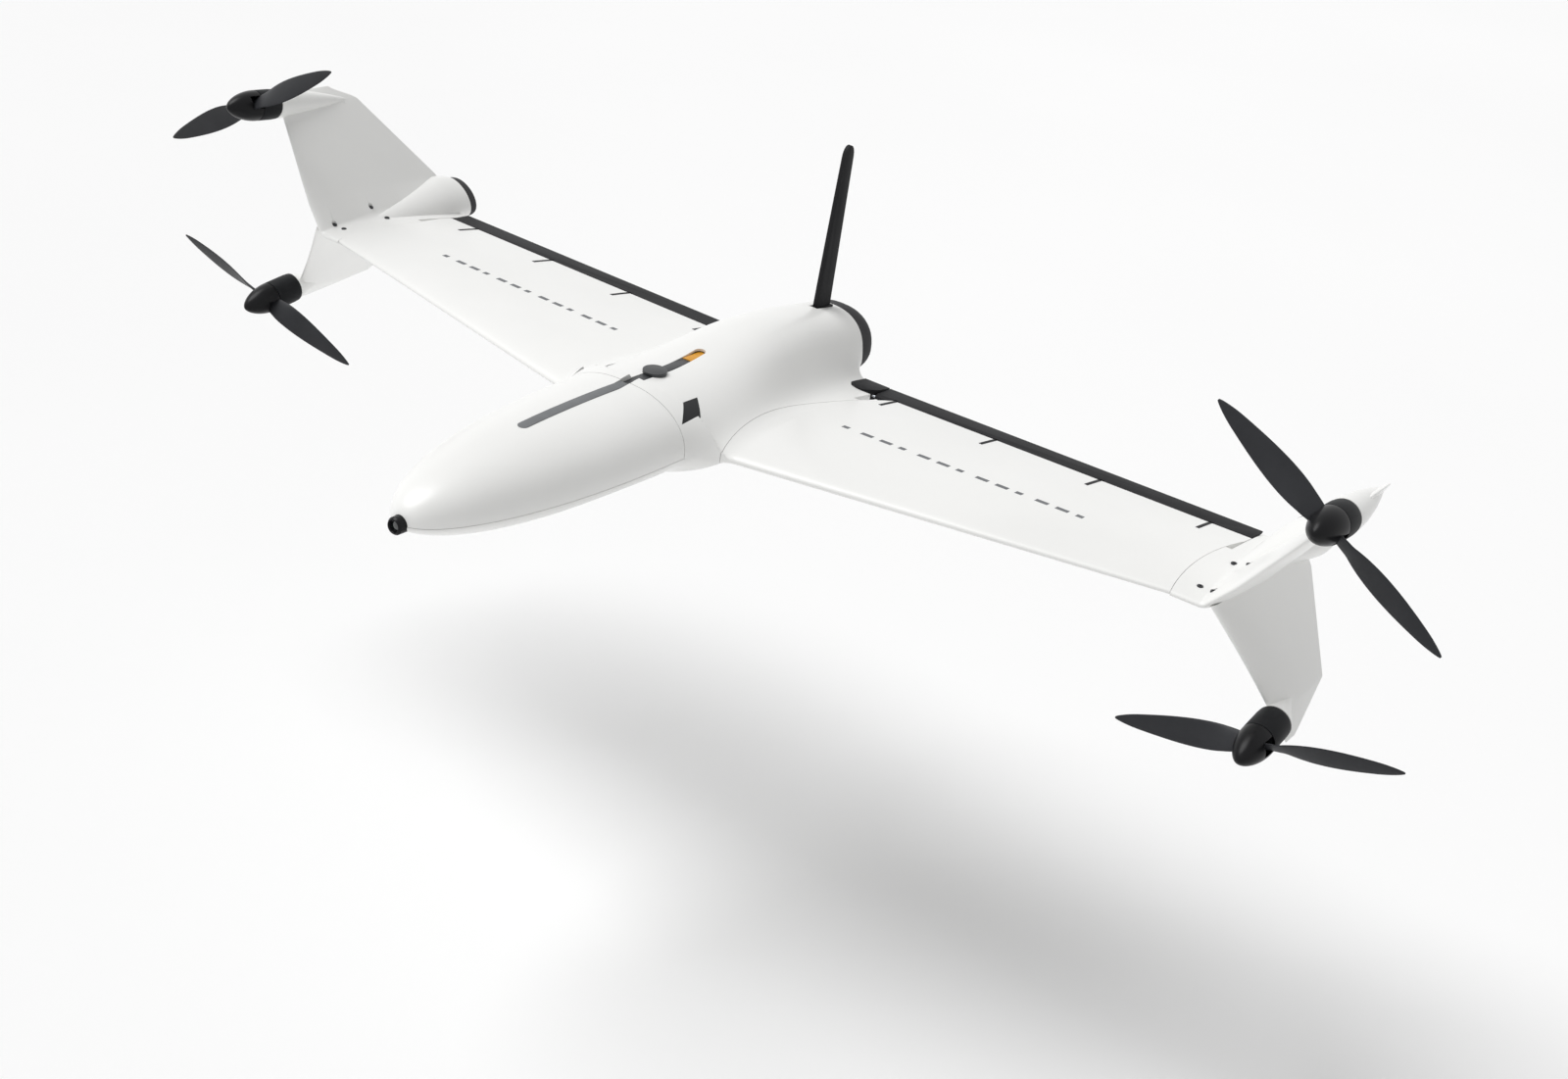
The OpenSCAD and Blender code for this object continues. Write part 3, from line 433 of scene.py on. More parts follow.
def loft(name: str, rings: Array) -> bpy.types.Object:
    """A closed solid through a list of rings.

    Args:
        name: the object's name.
        rings: an array of rings by points by 3, in flight millimetres.

    Returns:
        The object, its faces outwards.
    """
    rings = np.asarray(rings, float)
    m, n = rings.shape[:2]
    faces = [(i * n + j, i * n + (j + 1) % n, (i + 1) * n + (j + 1) % n, (i + 1) * n + j)
             for i in range(m - 1) for j in range(n)]
    faces += [tuple(range(n - 1, -1, -1)), tuple((m - 1) * n + j for j in range(n))]
    return outward(mesh_object(name, rings.reshape(-1, 3), faces))


def spun(name: str, profile: Sequence[tuple[float, float]], frame: Array, turns: int = 72) -> bpy.types.Object:
    """A solid of revolution.

    Args:
        name: the object's name.
        profile: (radius, height) pairs from the axis round to the axis again.
        frame: a 4x4 matrix from the local frame (axis Z) to the flight frame.
        turns: segments round the axis.

    Returns:
        The object.
    """
    pts, faces = [], []
    rows = []
    for r, z in profile:
        if r < 1e-6:
            rows.append([len(pts)] * turns)
            pts.append((0.0, 0.0, z))
        else:
            rows.append(list(range(len(pts), len(pts) + turns)))
            pts += [(r * math.cos(2 * math.pi * k / turns), r * math.sin(2 * math.pi * k / turns), z)
                    for k in range(turns)]
    for a, b in zip(rows, rows[1:]):
        for k in range(turns):
            quad = [a[k], a[(k + 1) % turns], b[(k + 1) % turns], b[k]]
            faces.append(list(dict.fromkeys(quad)))
    faces = [f for f in faces if len(f) > 2]
    placed = np.c_[np.array(pts), np.ones(len(pts))] @ np.asarray(frame, float).T
    return outward(mesh_object(name, placed[:, :3], faces))


def block(low: Sequence[float], high: Sequence[float], frame: Array | None = None) -> bpy.types.Object:
    """A box between two corners, for cutting.

    Args:
        low: one corner.
        high: the opposite corner.
        frame: a 4x4 matrix into the flight frame, or none where the corners are in it.

    Returns:
        The box.
    """
    pts = np.array([(x, y, z, 1.0) for x in (low[0], high[0]) for y in (low[1], high[1])
                    for z in (low[2], high[2])])
    if frame is not None:
        pts = pts @ np.asarray(frame, float).T
    return outward(mesh_object("cut", pts[:, :3], [(0, 1, 3, 2), (4, 6, 7, 5), (0, 4, 5, 1), (2, 3, 7, 6),
                                                   (0, 2, 6, 4), (1, 5, 7, 3)]))


def bar(outline: Sequence[tuple[float, float]], length: tuple[float, float], frame: Array) -> bpy.types.Object:
    """An outline in local X and Y drawn along local Z between two heights, for cutting.

    Args:
        outline: the points, counter-clockwise or clockwise.
        length: the two heights.
        frame: a 4x4 matrix from the local to the flight frame.

    Returns:
        The solid.
    """
    n = len(outline)
    pts = np.array([(x, y, z, 1.0) for z in length for x, y in outline]) @ np.asarray(frame, float).T
    faces = [(k, (k + 1) % n, n + (k + 1) % n, n + k) for k in range(n)]
    faces += [tuple(range(n - 1, -1, -1)), tuple(range(n, 2 * n))]
    return outward(mesh_object("cut", pts[:, :3], faces))


def circle(r: float, turns: int = 48, centre: tuple[float, float] = (0.0, 0.0)) -> list[tuple[float, float]]:
    """Points of a circle."""
    angles = [2 * math.pi * k / turns for k in range(turns)]
    return [(centre[0] + r * math.cos(a), centre[1] + r * math.sin(a)) for a in angles]


def turn(axis: str, degrees: float) -> Array:
    """A 4x4 rotation about X, Y or Z."""
    return np.array(Matrix.Rotation(math.radians(degrees), 4, axis))


def shift(x: float, y: float, z: float) -> Array:
    """A 4x4 move in millimetres."""
    return np.array(Matrix.Translation((x, y, z)))


# Draws an outline in flight Y and Z along flight X.
SIDEWAYS = np.array([[0, 0, 1, 0], [1, 0, 0, 0], [0, 1, 0, 0], [0, 0, 0, 1]], float)


class Cut(Enum):
    """How a set of helper solids acts on a piece."""

    TAKE = "DIFFERENCE"
    KEEP = "INTERSECT"
    JOIN = "UNION"


def carve(obj: bpy.types.Object, how: Cut, *tools: bpy.types.Object) -> bpy.types.Object:
    """Applies helper solids to a piece with exact booleans, and removes them.

    Args:
        obj: the piece.
        how: what the helpers do.
        tools: the helper solids.

    Returns:
        The piece.
    """
    for tool in tools:
        mod = obj.modifiers.new("cut", "BOOLEAN")
        mod.operation, mod.object, mod.solver = how.value, tool, "MANIFOLD"
        freeze(obj)
        drop(tool)
    return obj


def freeze(obj: bpy.types.Object) -> bpy.types.Object:
    """Makes the evaluated mesh the piece's own and removes its modifiers.

    Args:
        obj: the piece.

    Returns:
        The piece.
    """
    graph = bpy.context.evaluated_depsgraph_get()
    data = bpy.data.meshes.new_from_object(obj.evaluated_get(graph))
    old = obj.data
    obj.modifiers.clear()
    obj.data = data
    data.name = old.name
    if old.users == 0:
        bpy.data.meshes.remove(old)
    return obj


def mirrored(obj: bpy.types.Object, name: str) -> bpy.types.Object:
    """A copy of a piece on the other side of the plane x = 0, faces outwards.

    Args:
        obj: the piece.
        name: the copy's name.

    Returns:
        The copy.
    """
    data = obj.data.copy()
    co = np.empty(len(data.vertices) * 3)
    data.vertices.foreach_get("co", co)
    co[0::3] *= -1
    data.vertices.foreach_set("co", co)
    data.flip_normals()
    data.update()
    twin = bpy.data.objects.new(name, data)
    bpy.context.scene.collection.objects.link(twin)
    return twin


def shade(obj: bpy.types.Object, surface: Callable[[Array], Array] | None = None, angle: float = 32.0) -> None:
    """Smooth shading: by the true slope of a surface where the piece lies on it, by angle elsewhere.

    Args:
        obj: the piece.
        surface: a field of flight points that is 0 on the surface and grows outwards.
        angle: the sharpest angle in degrees that stays smooth.
    """
    data = obj.data
    data.shade_smooth()
    data.set_sharp_from_angle(angle=math.radians(angle))
    if surface is None:
        return
    co = np.empty(len(data.vertices) * 3)
    data.vertices.foreach_get("co", co)
    p = PLACE.flight(co.reshape(-1, 3))
    value = surface(p)
    step = 0.25
    slope = np.stack([(surface(p + d) - surface(p - d)) for d in np.eye(3) * step], axis=1)
    length = np.linalg.norm(slope, axis=1)
    slope /= np.maximum(length, 1e-9)[:, None]
    near = np.abs(value) < 0.12
    corner = np.empty(len(data.loops) * 3)
    data.corner_normals.foreach_get("vector", corner)
    corner = corner.reshape(-1, 3)
    verts = np.empty(len(data.loops), dtype=int)
    data.loops.foreach_get("vertex_index", verts)
    face_n = np.empty(len(data.polygons) * 3)
    data.polygons.foreach_get("normal", face_n)
    face_n = face_n.reshape(-1, 3)
    totals = np.empty(len(data.polygons), dtype=int)
    data.polygons.foreach_get("loop_total", totals)
    owner = np.repeat(np.arange(len(data.polygons)), totals)
    use = near[verts] & (np.einsum("ij,ij->i", face_n[owner], slope[verts]) > 0.8)
    corner[use] = slope[verts][use]
    data.normals_split_custom_set([tuple(v) for v in corner])


# ---------------------------------------------------------------- shapes shared with the part's source


@dataclass(frozen=True)
class BodyLines:
    """Half width, top, waist and belly lines of the body over y."""

    nose: float = -351.5
    tail: float = 134.0
    width: float = 57.5
    top: float = 27.5
    belly: float = 33.0
    hump: float = 14.5
    wall: float = 1.8
    seam: float = -139.0
    upper_power: float = 2.3
    lower_power: float = 1.9

    @property
    def rim(self) -> float:
        """Where the white shell ends and the tail cap begins."""
        return self.tail - 22

    def curve(self, y: Array, length: float, p: float, q: float) -> Array:
        """Growth from 0 at the nose to 1 after the given length."""
        u = np.clip((y - self.nose) / length, 0, 1)
        return (1 - (1 - u) ** p) ** q

    def waist(self, y: Array) -> Array:
        """Height of the widest line."""
        return -17.5 + 0.043 * (y - self.nose)

    def half(self, y: Array) -> Array:
        """Half width."""
        return self.width * self.curve(y, 216, 2.1, 0.5) - (self.width - 33.5) * smooth((y + 145) / 280)

    def roof(self, y: Array) -> Array:
        """Height of the top line."""
        return (-17.5 + (self.top + 17.5) * self.curve(y, 226, 2, 0.42)
                + self.hump * smooth((y + 100) / 115) - 9 * smooth((y - 30) / 110))

    def keel(self, y: Array) -> Array:
        """Height of the belly line."""
        return (-17.5 - (self.belly - 17.5) * self.curve(y, 80, 2, 0.5)
                + 3 * smooth((y + 262) / 77) + 7 * smooth((y - 30) / 110))

    def ring(self, y: float, inset: float, count: int) -> Array:
        """One cross-section, inset by a wall.

        Args:
            y: its station.
            inset: how far inside the outer skin.
            count: how many points.

        Returns:
            The points, count by 3.
        """
        a = 2 * np.pi * np.arange(count) / count
        s, c = np.sin(a), np.cos(a)
        power = 2 / np.where(s < 0, self.lower_power, self.upper_power)
        rise = np.where(s < 0, self.waist(y) - self.keel(y), self.roof(y) - self.waist(y)) - inset
        x = (self.half(y) - inset) * np.sign(c) * np.abs(c) ** power
        z = self.waist(y) + rise * np.sign(s) * np.abs(s) ** power
        return np.c_[x, np.full(count, y), z]

    def field(self, p: Array) -> Array:
        """Roughly the distance of flight points from the body's skin, negative inside."""
        x, y, z = p[..., 0], p[..., 1], p[..., 2]
        waist = self.waist(y)
        dz = z - waist
        up = dz >= 0
        rise = np.maximum(np.where(up, self.roof(y) - waist, waist - self.keel(y)), 0.2)
        power = np.where(up, self.upper_power, self.lower_power)
        half = np.maximum(self.half(y), 0.2)
        v = (np.abs(x / half) ** power + np.abs(dz / rise) ** power + 1e-12) ** (1 / power)
        return np.hypot(x, dz) * (1 - 1 / v)


@dataclass(frozen=True)
class WingLines:
    """Plan, section and height of the wing over x."""

    root: float = 58.0
    tip: float = 381.0
    edge_root: float = -119.5
    edge_tip: float = -41.5
    chord_root: float = 219.5
    chord_tip: float = 151.5
    thick: float = 0.085
    camber: float = 0.01
    tail_z: float = -12.0
    trailing: float = 1.2

    def along(self, x: Array) -> Array:
        """0 at the root and 1 at the tip."""
        return (x - self.root) / (self.tip - self.root)

    def front(self, x: Array) -> Array:
        """Leading edge."""
        return mix(self.edge_root, self.edge_tip, self.along(x))

    def chord(self, x: Array) -> Array:
        """Chord."""
        return mix(self.chord_root, self.chord_tip, self.along(x))

    def back(self, x: Array) -> Array:
        """Trailing edge."""
        return self.front(x) + self.chord(x)

    def mid(self, u: Array, x: Array) -> Array:
        """Height of the section's mean line."""
        return (mix(mix(-8.5, -6.5, self.along(x)), self.tail_z, u)
                + 4 * self.camber * u * (1 - u) * self.chord(x))

    def half(self, u: Array, chord: Array, thick: float | Array | None = None) -> Array:
        """Half thickness of the section."""
        t = self.thick if thick is None else thick
        shape = 5 * (0.2969 * np.sqrt(u) - 0.126 * u - 0.3516 * u ** 2 + 0.2843 * u ** 3 - 0.1015 * u ** 4)
        return chord * t * shape + self.trailing / 2 * u

    def field(self, p: Array) -> Array:
        """Roughly the distance of flight points from the wing's skin, negative inside."""
        x, y, z = np.maximum(np.abs(p[..., 0]), 20.0), p[..., 1], p[..., 2]
        chord = self.chord(x)
        raw = (y - self.front(x)) / chord
        u = np.clip(raw, 0, 1)
        root_u = np.sqrt(np.maximum(u, 4e-4))
        slope = self.thick * 5 * (0.14845 / root_u - 0.126 - 0.7032 * u + 0.8529 * u ** 2 - 0.406 * u ** 3)
        normal = (np.abs(z - self.mid(u, x)) - self.half(u, chord)) / np.hypot(1, slope)
        beyond = np.abs(raw - u) * chord
        return np.where(beyond > 0, np.hypot(beyond, np.maximum(normal, 0)) - 1e-9, normal)


BODY = BodyLines()
WING = WingLines()
FILLET = 27.0


def blend_fields(a: Array, b: Array, width: float) -> Array:
    """Union of two fields with a rounded inner corner.

    Args:
        a: one field's values.
        b: the other's.
        width: the reach of the rounding in millimetres.

    Returns:
        The union's values.
    """
    h = np.maximum(width - np.abs(a - b), 0) / width
    return np.minimum(a, b) - h * h * width / 4


def airframe(p: Array) -> Array:
    """The body and wings as one field, with the fairing between them."""
    return blend_fields(BODY.field(p), WING.field(p), FILLET)


@dataclass(frozen=True)
class Hinge:
    """The straight hinge line of an elevon."""

    x0: float = 71.0
    z: float = -10.8
    slope: float = 0.030959752321981424
    chord: float = 20.0
    radius: float = 1.6
    gap: float = 0.3

    def y(self, x: float) -> float:
        """The line's y at x."""
        return float(WING.back(self.x0)) - self.chord + self.slope * (x - self.x0)

    def frame(self) -> Array:
        """Local X aft, local Y up, local Z along the line, origin at x0."""
        along = np.array([1.0, self.slope, 0.0]) / math.hypot(1, self.slope)
        up = np.array([0.0, 0.0, 1.0])
        aft = np.cross(up, along)
        m = np.eye(4)
        m[:3, 0], m[:3, 1], m[:3, 2] = aft, up, along
        m[:3, 3] = (self.x0, self.y(self.x0), self.z)
        return m


HINGE = Hinge()
# Arcs of the seams in plan: centre x and y, and radius.
ROOT_SEAM = (338.0, -38.0, 277.0)
TIP_SEAM = (732.5, 20.0, 355.0)
TIP_X = WING.tip
# Bores along the span: radius, segments, and centre in y and z.
MAIN_SPAR_BORE = (4.5, 48, (-20, -7.6))
REAR_SPAR_BORE = (2.5, 32, (45, -9.2))
HARNESS_BORE = (2.2, 32, (8, -7.9))
# Radius of the elevon rod's bore.
ROD_BORE = 1.25


def upright(x: float, y: float, r: float, low: float = -120, high: float = 120,
            turns: int = 240) -> bpy.types.Object:
    """A tall cylinder for cutting seams that are arcs in plan."""
    return bar(circle(r, turns), (low, high), shift(x, y, 0))


# ---------------------------------------------------------------- body shell


@dataclass
class BodyShell:
    """White main hull and nose cover, cut from one faired skin."""

    stations: int = 150
    turns: int = 264
    reach: float = 100.0
    seam_gap: float = 0.5
    clear: float = 90.0
    rib_ys: tuple[float, ...] = (-280.0, -215.0, -150.0, -60.0, 0.0, 30.0)
    rib_wall: float = 2.0
    rib_half: float = 60.0
    rib_top: float = -23.0
    sensor_r: float = 6.0
    cover_sensor_r: float = 6.3

    def section_rows(self) -> Array:
        """Stations along y: dense at the nose, the wing's leading edge and the tail."""
        nose = BODY.nose + 175 * np.linspace(0.035, 1, 62) ** 2.2
        mid = np.arange(-174, -124, 2.6)
        edge = np.arange(-124, -104, 0.9)
        rest = np.arange(-104, 96, 2.9)
        tail = np.r_[np.arange(96, 103, 0.5), np.arange(103, BODY.rim, 1.2), BODY.rim]
        return np.r_[nose, mid, edge, rest, tail]

    def middle(self, y: Array) -> Array:
        """Height from which each section is star-shaped: the wing's mean line, then the waist."""
        u = np.clip((y - WING.front(78.0)) / WING.chord(78.0), 0, 1)
        return mix(BODY.waist(y), WING.mid(u, 78.0), smooth((y + 142) / 18))

    def skin(self, name: str) -> bpy.types.Object:
        """The closed outer skin of body and fairings, out to the wing panels.

        Args:
            name: the object's name.

        Returns:
            The skin.
        """
        ys = self.section_rows()
        t = 2 * np.pi * np.arange(self.turns) / self.turns
        theta = t - 0.42 * np.sin(2 * t)
        way = np.stack([np.cos(theta), np.zeros_like(theta), np.sin(theta)], axis=1)
        origin = np.stack([np.zeros_like(ys), ys, self.middle(ys)], axis=1)
        far = np.minimum(self.reach / np.maximum(np.abs(way[:, 0]), 1e-6), 160.0)
        steps = np.linspace(0, 1, 41)[1:]
        low = np.zeros((len(ys), self.turns))
        high = np.broadcast_to(far, low.shape).copy()
        found = np.zeros(low.shape, bool)
        for a, b in zip(np.r_[0, steps[:-1]], steps):
            r = b * far
            value = airframe(origin[:, None, :] + way[None] * r[None, :, None])
            hit = (value > 0) & ~found
            low = np.where(hit, a * far, low)
            high = np.where(hit, r[None, :], high)
            found |= hit
        low = np.where(found, low, high)
        for _ in range(26):
            r = (low + high) / 2
            outside = airframe(origin[:, None, :] + way[None] * r[..., None]) > 0
            high = np.where(outside & found, r, high)
            low = np.where(outside | ~found, low, r)
        rings = origin[:, None, :] + way[None] * ((low + high) / 2)[..., None]
        return loft(name, rings)

    def cavity(self) -> bpy.types.Object:
        """The hollow inside the wall."""
        ys = np.r_[BODY.nose + 9 + 150 * np.linspace(0, 1, 30) ** 1.6, np.linspace(-185, BODY.rim + 2, 40)]
        return loft("cut", np.stack([BODY.ring(min(y, BODY.rim + 1.9), BODY.wall, 96) for y in ys]))

    def cover_zone(self, back: float, lift: float) -> bpy.types.Object:
        """Everything the nose cover may fill.

        Args:
            back: how far the zone's rear end is moved aft of the seam.
            lift: how far its underside is raised over the waist line.

        Returns:
            The zone.
        """
        y0, y1 = BODY.nose - 20, BODY.seam + back
        outline = [(y0, BODY.waist(y0) + lift), (y1, BODY.waist(y1) + lift), (y1, self.clear), (y0, self.clear)]
        return bar(outline, (-self.clear, self.clear), SIDEWAYS)

    def rib(self, y: float, top: float) -> bpy.types.Object:
        """One cross rib at a station, up to a height."""
        return block((-self.rib_half, y, -self.rib_half), (self.rib_half, y + self.rib_wall, top))

    def hull(self, skin: bpy.types.Object) -> bpy.types.Object:
        """Cuts the main hull, with its ribs, latch bed and openings, from the faired skin.

        Args:
            skin: the outer skin, kept.

        Returns:
            The main hull.
        """
        inner = copy_of(skin, "cut")
        ribs = self.rib(self.rib_ys[0], self.rib_top)
        for y in self.rib_ys[1:]:
            carve(ribs, Cut.JOIN, self.rib(y, self.rib_top))
        carve(ribs, Cut.JOIN, self.rib(HINGE.y(21) + 6, HINGE.z + 7))
        carve(ribs, Cut.JOIN, block((-9, BODY.seam + 0.8, -4.6), (9, BODY.seam + 92, 0.3), LATCH.frame()),
              block((-12, 48, 33), (12, 72, 47)), block((-21, -114, -40), (21, -82, CAMERA_Z)))
        ribs = carve(ribs, Cut.KEEP, inner)
        hull = copy_of(skin, "hull_shell")
        carve(hull, Cut.TAKE, self.cavity(), self.cover_zone(0, 0))
        carve(hull, Cut.JOIN, ribs)
        x, y, r = ROOT_SEAM
        for side in (1, -1):
            carve(hull, Cut.TAKE, upright(side * x, y, r + 0.35))
            carve(hull, Cut.TAKE, *side_rooms(side))
        carve(hull, Cut.TAKE, LATCH.groove(), sensor_bore(self.sensor_r), window_hole(1), window_hole(-1),
              block(*BELLY_OPENING), block(*ANTENNA_SLOT))
        return hull

    def cover(self, skin: bpy.types.Object) -> bpy.types.Object:
        """Cuts the nose cover from the faired skin, with the strip's recess and the sensor's notch.

        Args:
            skin: the outer skin, kept.

        Returns:
            The cover.
        """
        cover = copy_of(skin, "cover_shell")
        carve(cover, Cut.KEEP, self.cover_zone(-self.seam_gap, 0.3))
        r, y, z = self.cover_sensor_r, BODY.nose, BODY.waist(BODY.nose)
        carve(cover, Cut.TAKE, self.cavity(), grip_shape(-BODY.wall / 2, 6.0), sensor_bore(r),
              block((-r, y - 2, z - 10), (r, y + 12, z)))
        return cover

    def build(self) -> None:
        """Builds both pieces, dresses them and puts them on their bodies."""
        skin = self.skin("body_skin")
        for piece, node, body in ((self.hull(skin), "main_hull", "chassis"),
                                  (self.cover(skin), "nose_cover", "nose_cover")):
            shade(piece, airframe)
            finish_piece(piece, WHITE_SHELL, body, node)
        drop(skin)


def copy_of(obj: bpy.types.Object, name: str) -> bpy.types.Object:
    """A linked copy of an object with its own mesh.

    Args:
        obj: the object.
        name: the copy's name.

    Returns:
        The copy.
    """
    twin = bpy.data.objects.new(name, obj.data.copy())
    bpy.context.scene.collection.objects.link(twin)
    return twin


CAMERA_Z = float(BODY.keel(-98.0)) + 1 + 1.2 + 2.4
ANTENNA_Y = 96.5
# Opposite corners of the camera's opening in the belly and of the antenna's slot in the top.
BELLY_OPENING = ((-17, -110, -50), (17, -86, -23))
ANTENNA_SLOT = ((-4.02, ANTENNA_Y - 12.02, 25), (4.02, ANTENNA_Y + 10.02, 55))


@dataclass(frozen=True)
class Latch:
    """Local frame and groove of the latch on the top line."""

    y: float = -95.5
    drop: float = 1.6
    bar: float = 8.2
    lever: float = 43.5
    gap: float = 0.3
    bed: float = -2.6
    clear: float = 11.4
    housing_r: float = 8.7
    housing_y: float = -11.2
    pin_r: float = 0.9
    pin_half: float = 6.5

    def frame(self) -> Array:
        """Pin axis along X at the origin, Y aft along the top line."""
        tilt = math.degrees(math.atan((BODY.roof(-70.0) - BODY.roof(-125.0)) / 55))
        return shift(0, self.y, float(BODY.roof(self.y)) - self.drop) @ turn("X", tilt)

    def groove(self) -> bpy.types.Object:
        """Room for the tongue, the lever and the round housing."""
        half = self.bar / 2 + self.gap
        end = self.lever - self.bar / 2
        frame = self.frame()
        hole = block((-half, BODY.seam - self.y - 4, self.bed), (half, end, self.clear), frame)
        carve(hole, Cut.JOIN, bar(circle(half, 48, (0, end)), (self.bed, self.clear), frame))
        round_bed = bar(circle(self.housing_r, 72, (0, self.housing_y)), (1.2, 9.2), frame)
        carve(round_bed, Cut.KEEP, block((-10, -19.9, 0), (10, -2.5, 10), frame))
        pin = bar(circle(self.pin_r, 24), (-self.pin_half, self.pin_half), frame @ turn("Y", 90))
        carve(hole, Cut.JOIN, round_bed, pin)
        return hole


LATCH = Latch()


def sensor_bore(r: float) -> bpy.types.Object:
    """Bore for the nose sensor."""
    frame = shift(0, BODY.nose + 7, float(BODY.waist(BODY.nose))) @ turn("X", 90)
    return bar(circle(r, 64), (0, 30), frame)


# Frame of the right side window and its outline: local X down the shoulder, local Y aft.
WINDOW_FRAME = shift(43, -119.5, 17) @ turn("Y", 32) @ shift(0, 0, -8)
WINDOW_OUTLINE = [(-7.7, -3.5), (-7.7, 16), (7.7, 5.5), (7.7, -16.7)]


def window_hole(side: int) -> bpy.types.Object:
    """Slanted four-sided opening on the shoulder of one side.

    Args:
        side: 1 for the right side, -1 for the left.

    Returns:
        The cutting solid.
    """
    hole = bar(WINDOW_OUTLINE, (0, 30), WINDOW_FRAME)
    if side > 0:
        return hole
    other = mirrored(hole, "cut")
    drop(hole)
    return other


# Front end and half width of the grip strip.
GRIP_FRONT, GRIP_HALF = -246.0, 4.1


def grip_shape(low: float, high: float) -> bpy.types.Object:
    """The strip's slab along the cover's top line.

    Args:
        low: its underside over the top line, in millimetres.
        high: its upper side over the top line.

    Returns:
        The slab.
    """
    y0, half = GRIP_FRONT, GRIP_HALF
    ys = np.r_[y0, np.arange(-242, -142, 4.0), BODY.seam - 0.3]
    outline = [(y, float(BODY.roof(y)) + low) for y in ys] + [(y, float(BODY.roof(y)) + high) for y in ys[::-1]]
    slab = bar(outline, (-half, half), SIDEWAYS)
    plan = bar(circle(half, 48, (0, y0 + half)), (-50, 90), np.eye(4))
    carve(plan, Cut.JOIN, block((-half, y0 + half, -50), (half, y0 + half + 140, 90)))
    return carve(slab, Cut.KEEP, plan)


def side_rooms(side: int) -> list[bpy.types.Object]:
    """What the wing roots need on one side: root block, elevon end, hinge rod and spar bores.

    Args:
        side: 1 for the right side, -1 for the left.

    Returns:
        The cutting solids.
    """
    rod = bar(circle(ROD_BORE, 24), (20 - HINGE.x0, 20), HINGE.frame())
    y0, z0 = HINGE.y(HINGE.x0), HINGE.z
    back = float(WING.back(60.0))
    root_block = bar([(y0 - 6.5, z0 - 3.4), (y0 - 6.5, z0 + 4.6), (y0 - 2, z0 + 5), (back, z0 + 2.4),
                      (back, z0 - 2.6)], (48, 70.7), SIDEWAYS)
    elevon_end = block((70, y0 - 30, -40), (130, y0 + 50, 40))
    behind = block((54, back - 0.5, -40), (114, back + 80, 40))
    bores = [bar(circle(*bore), (0, 90), SIDEWAYS) for bore in (MAIN_SPAR_BORE, REAR_SPAR_BORE, HARNESS_BORE)]
    tools = [rod, root_block, elevon_end, behind, *bores]
    if side > 0:
        return tools
    twins = [mirrored(tool, "cut") for tool in tools]
    drop(*tools)
    return twins


def finish_piece(obj: bpy.types.Object, finish: Finish, body: str, *nodes: str) -> None:
    """Gives a piece its material and slot, puts it on its body and stands it for its CAD nodes.

    Args:
        obj: the piece.
        finish: its finish.
        body: the body it rides on.
        nodes: the CAD nodes it replaces.
    """
    obj.data.materials.clear()
    obj.data.materials.append(finish.build())
    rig.ride(obj, body)
    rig.slot(obj, finish.slot)
    if nodes:
        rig.replaces(obj, *nodes)
    log.info("%-22s %7d faces on %s", obj.name, len(obj.data.polygons), body)


# ---------------------------------------------------------------- finishes

# Satin painted glass-fibre and foam shell: near-white, even, with a faint orange peel.
WHITE_SHELL = Finish("painted_white_shell", "white_shell", "#f3f3f1", "#eeeeec", 0.36, 2.2, 0.010, 160.0, 0.05,
                     coat=0.25, coat_roughness=0.22)
# The finishes with an IOR of 1.22 to 1.3 are darker in the photo than real nylon, paint or
# polycarbonate would be under white surroundings, so theirs is set below the real one.

# Glass-filled nylon moulding: dark grey, fine spark-eroded grain that scatters light.
CHARCOAL = Finish("glass_filled_nylon", "charcoal_moulding", "#1f1f21", "#1b1b1d", 0.62, 0.9, 0.05, 22.0,
                  ior=1.25)
# Soft-touch strip of thermoplastic elastomer: mid grey and very matt.
GRIP_GREY = Finish("soft_touch_elastomer", "grip_grey", "#77797b", "#6b6d6f", 0.72, 0.8, 0.04, 18.0)
# Moulded acetal latch parts: dark, slightly waxy.
LATCH_DARK = Finish("moulded_acetal", "latch_dark", "#37393b", "#2f3133", 0.45, 1.1, 0.03, 14.0, ior=1.48)
# Amber acetal tab: strong orange yellow with a waxy sheen.
AMBER = Finish("amber_acetal", "amber_tab", "#dfa02a", "#d0901f", 0.38, 1.0, 0.02, 9.0, ior=1.48)
# Ground stainless steel: bright, faintly streaked along the length.
STEEL = Finish("ground_stainless_steel", "steel", "#b9bcc0", "#a4a8ad", 0.28, 0.6, 0.015, 8.0, 0.08,
               metallic=1.0, stretch=(0.15, 1.0, 1.0))
# Black oxide screws: dark metal, dull.
SCREW_BLACK = Finish("black_oxide_steel", "screw_black", "#3a3b3e", "#2c2d30", 0.42, 0.7, 0.02, 4.0,
                     metallic=0.6)
# Black anodised and painted cowls: fine matt grain.
COWL_BLACK = Finish("matt_black_paint", "black_satin", "#1a1b1d", "#161719", 0.5, 0.8, 0.03, 16.0, ior=1.22)
# Injection-moulded spinner in polished black nylon: smooth with a clear highlight.
SPINNER_BLACK = Finish("polished_black_nylon", "black_satin", "#131315", "#101012", 0.3, 2.0, 0.008, 24.0,
                       ior=1.25)
# Coated optical glass over a black barrel: almost black with a green cast.
LENS_GLASS = Finish("coated_lens_glass", "dark_glass", "#0d1411", "#121c17", 0.06, 6.0, 0.0005, 5.0, 0.02,
                    ior=1.6, coat=1.0, coat_roughness=0.03)
# Smoked polycarbonate pane over a dark inside.
SMOKED = Finish("smoked_polycarbonate", "smoked_pane", "#1b1c1e", "#161719", 0.3, 2.5, 0.006, 12.0, ior=1.3)
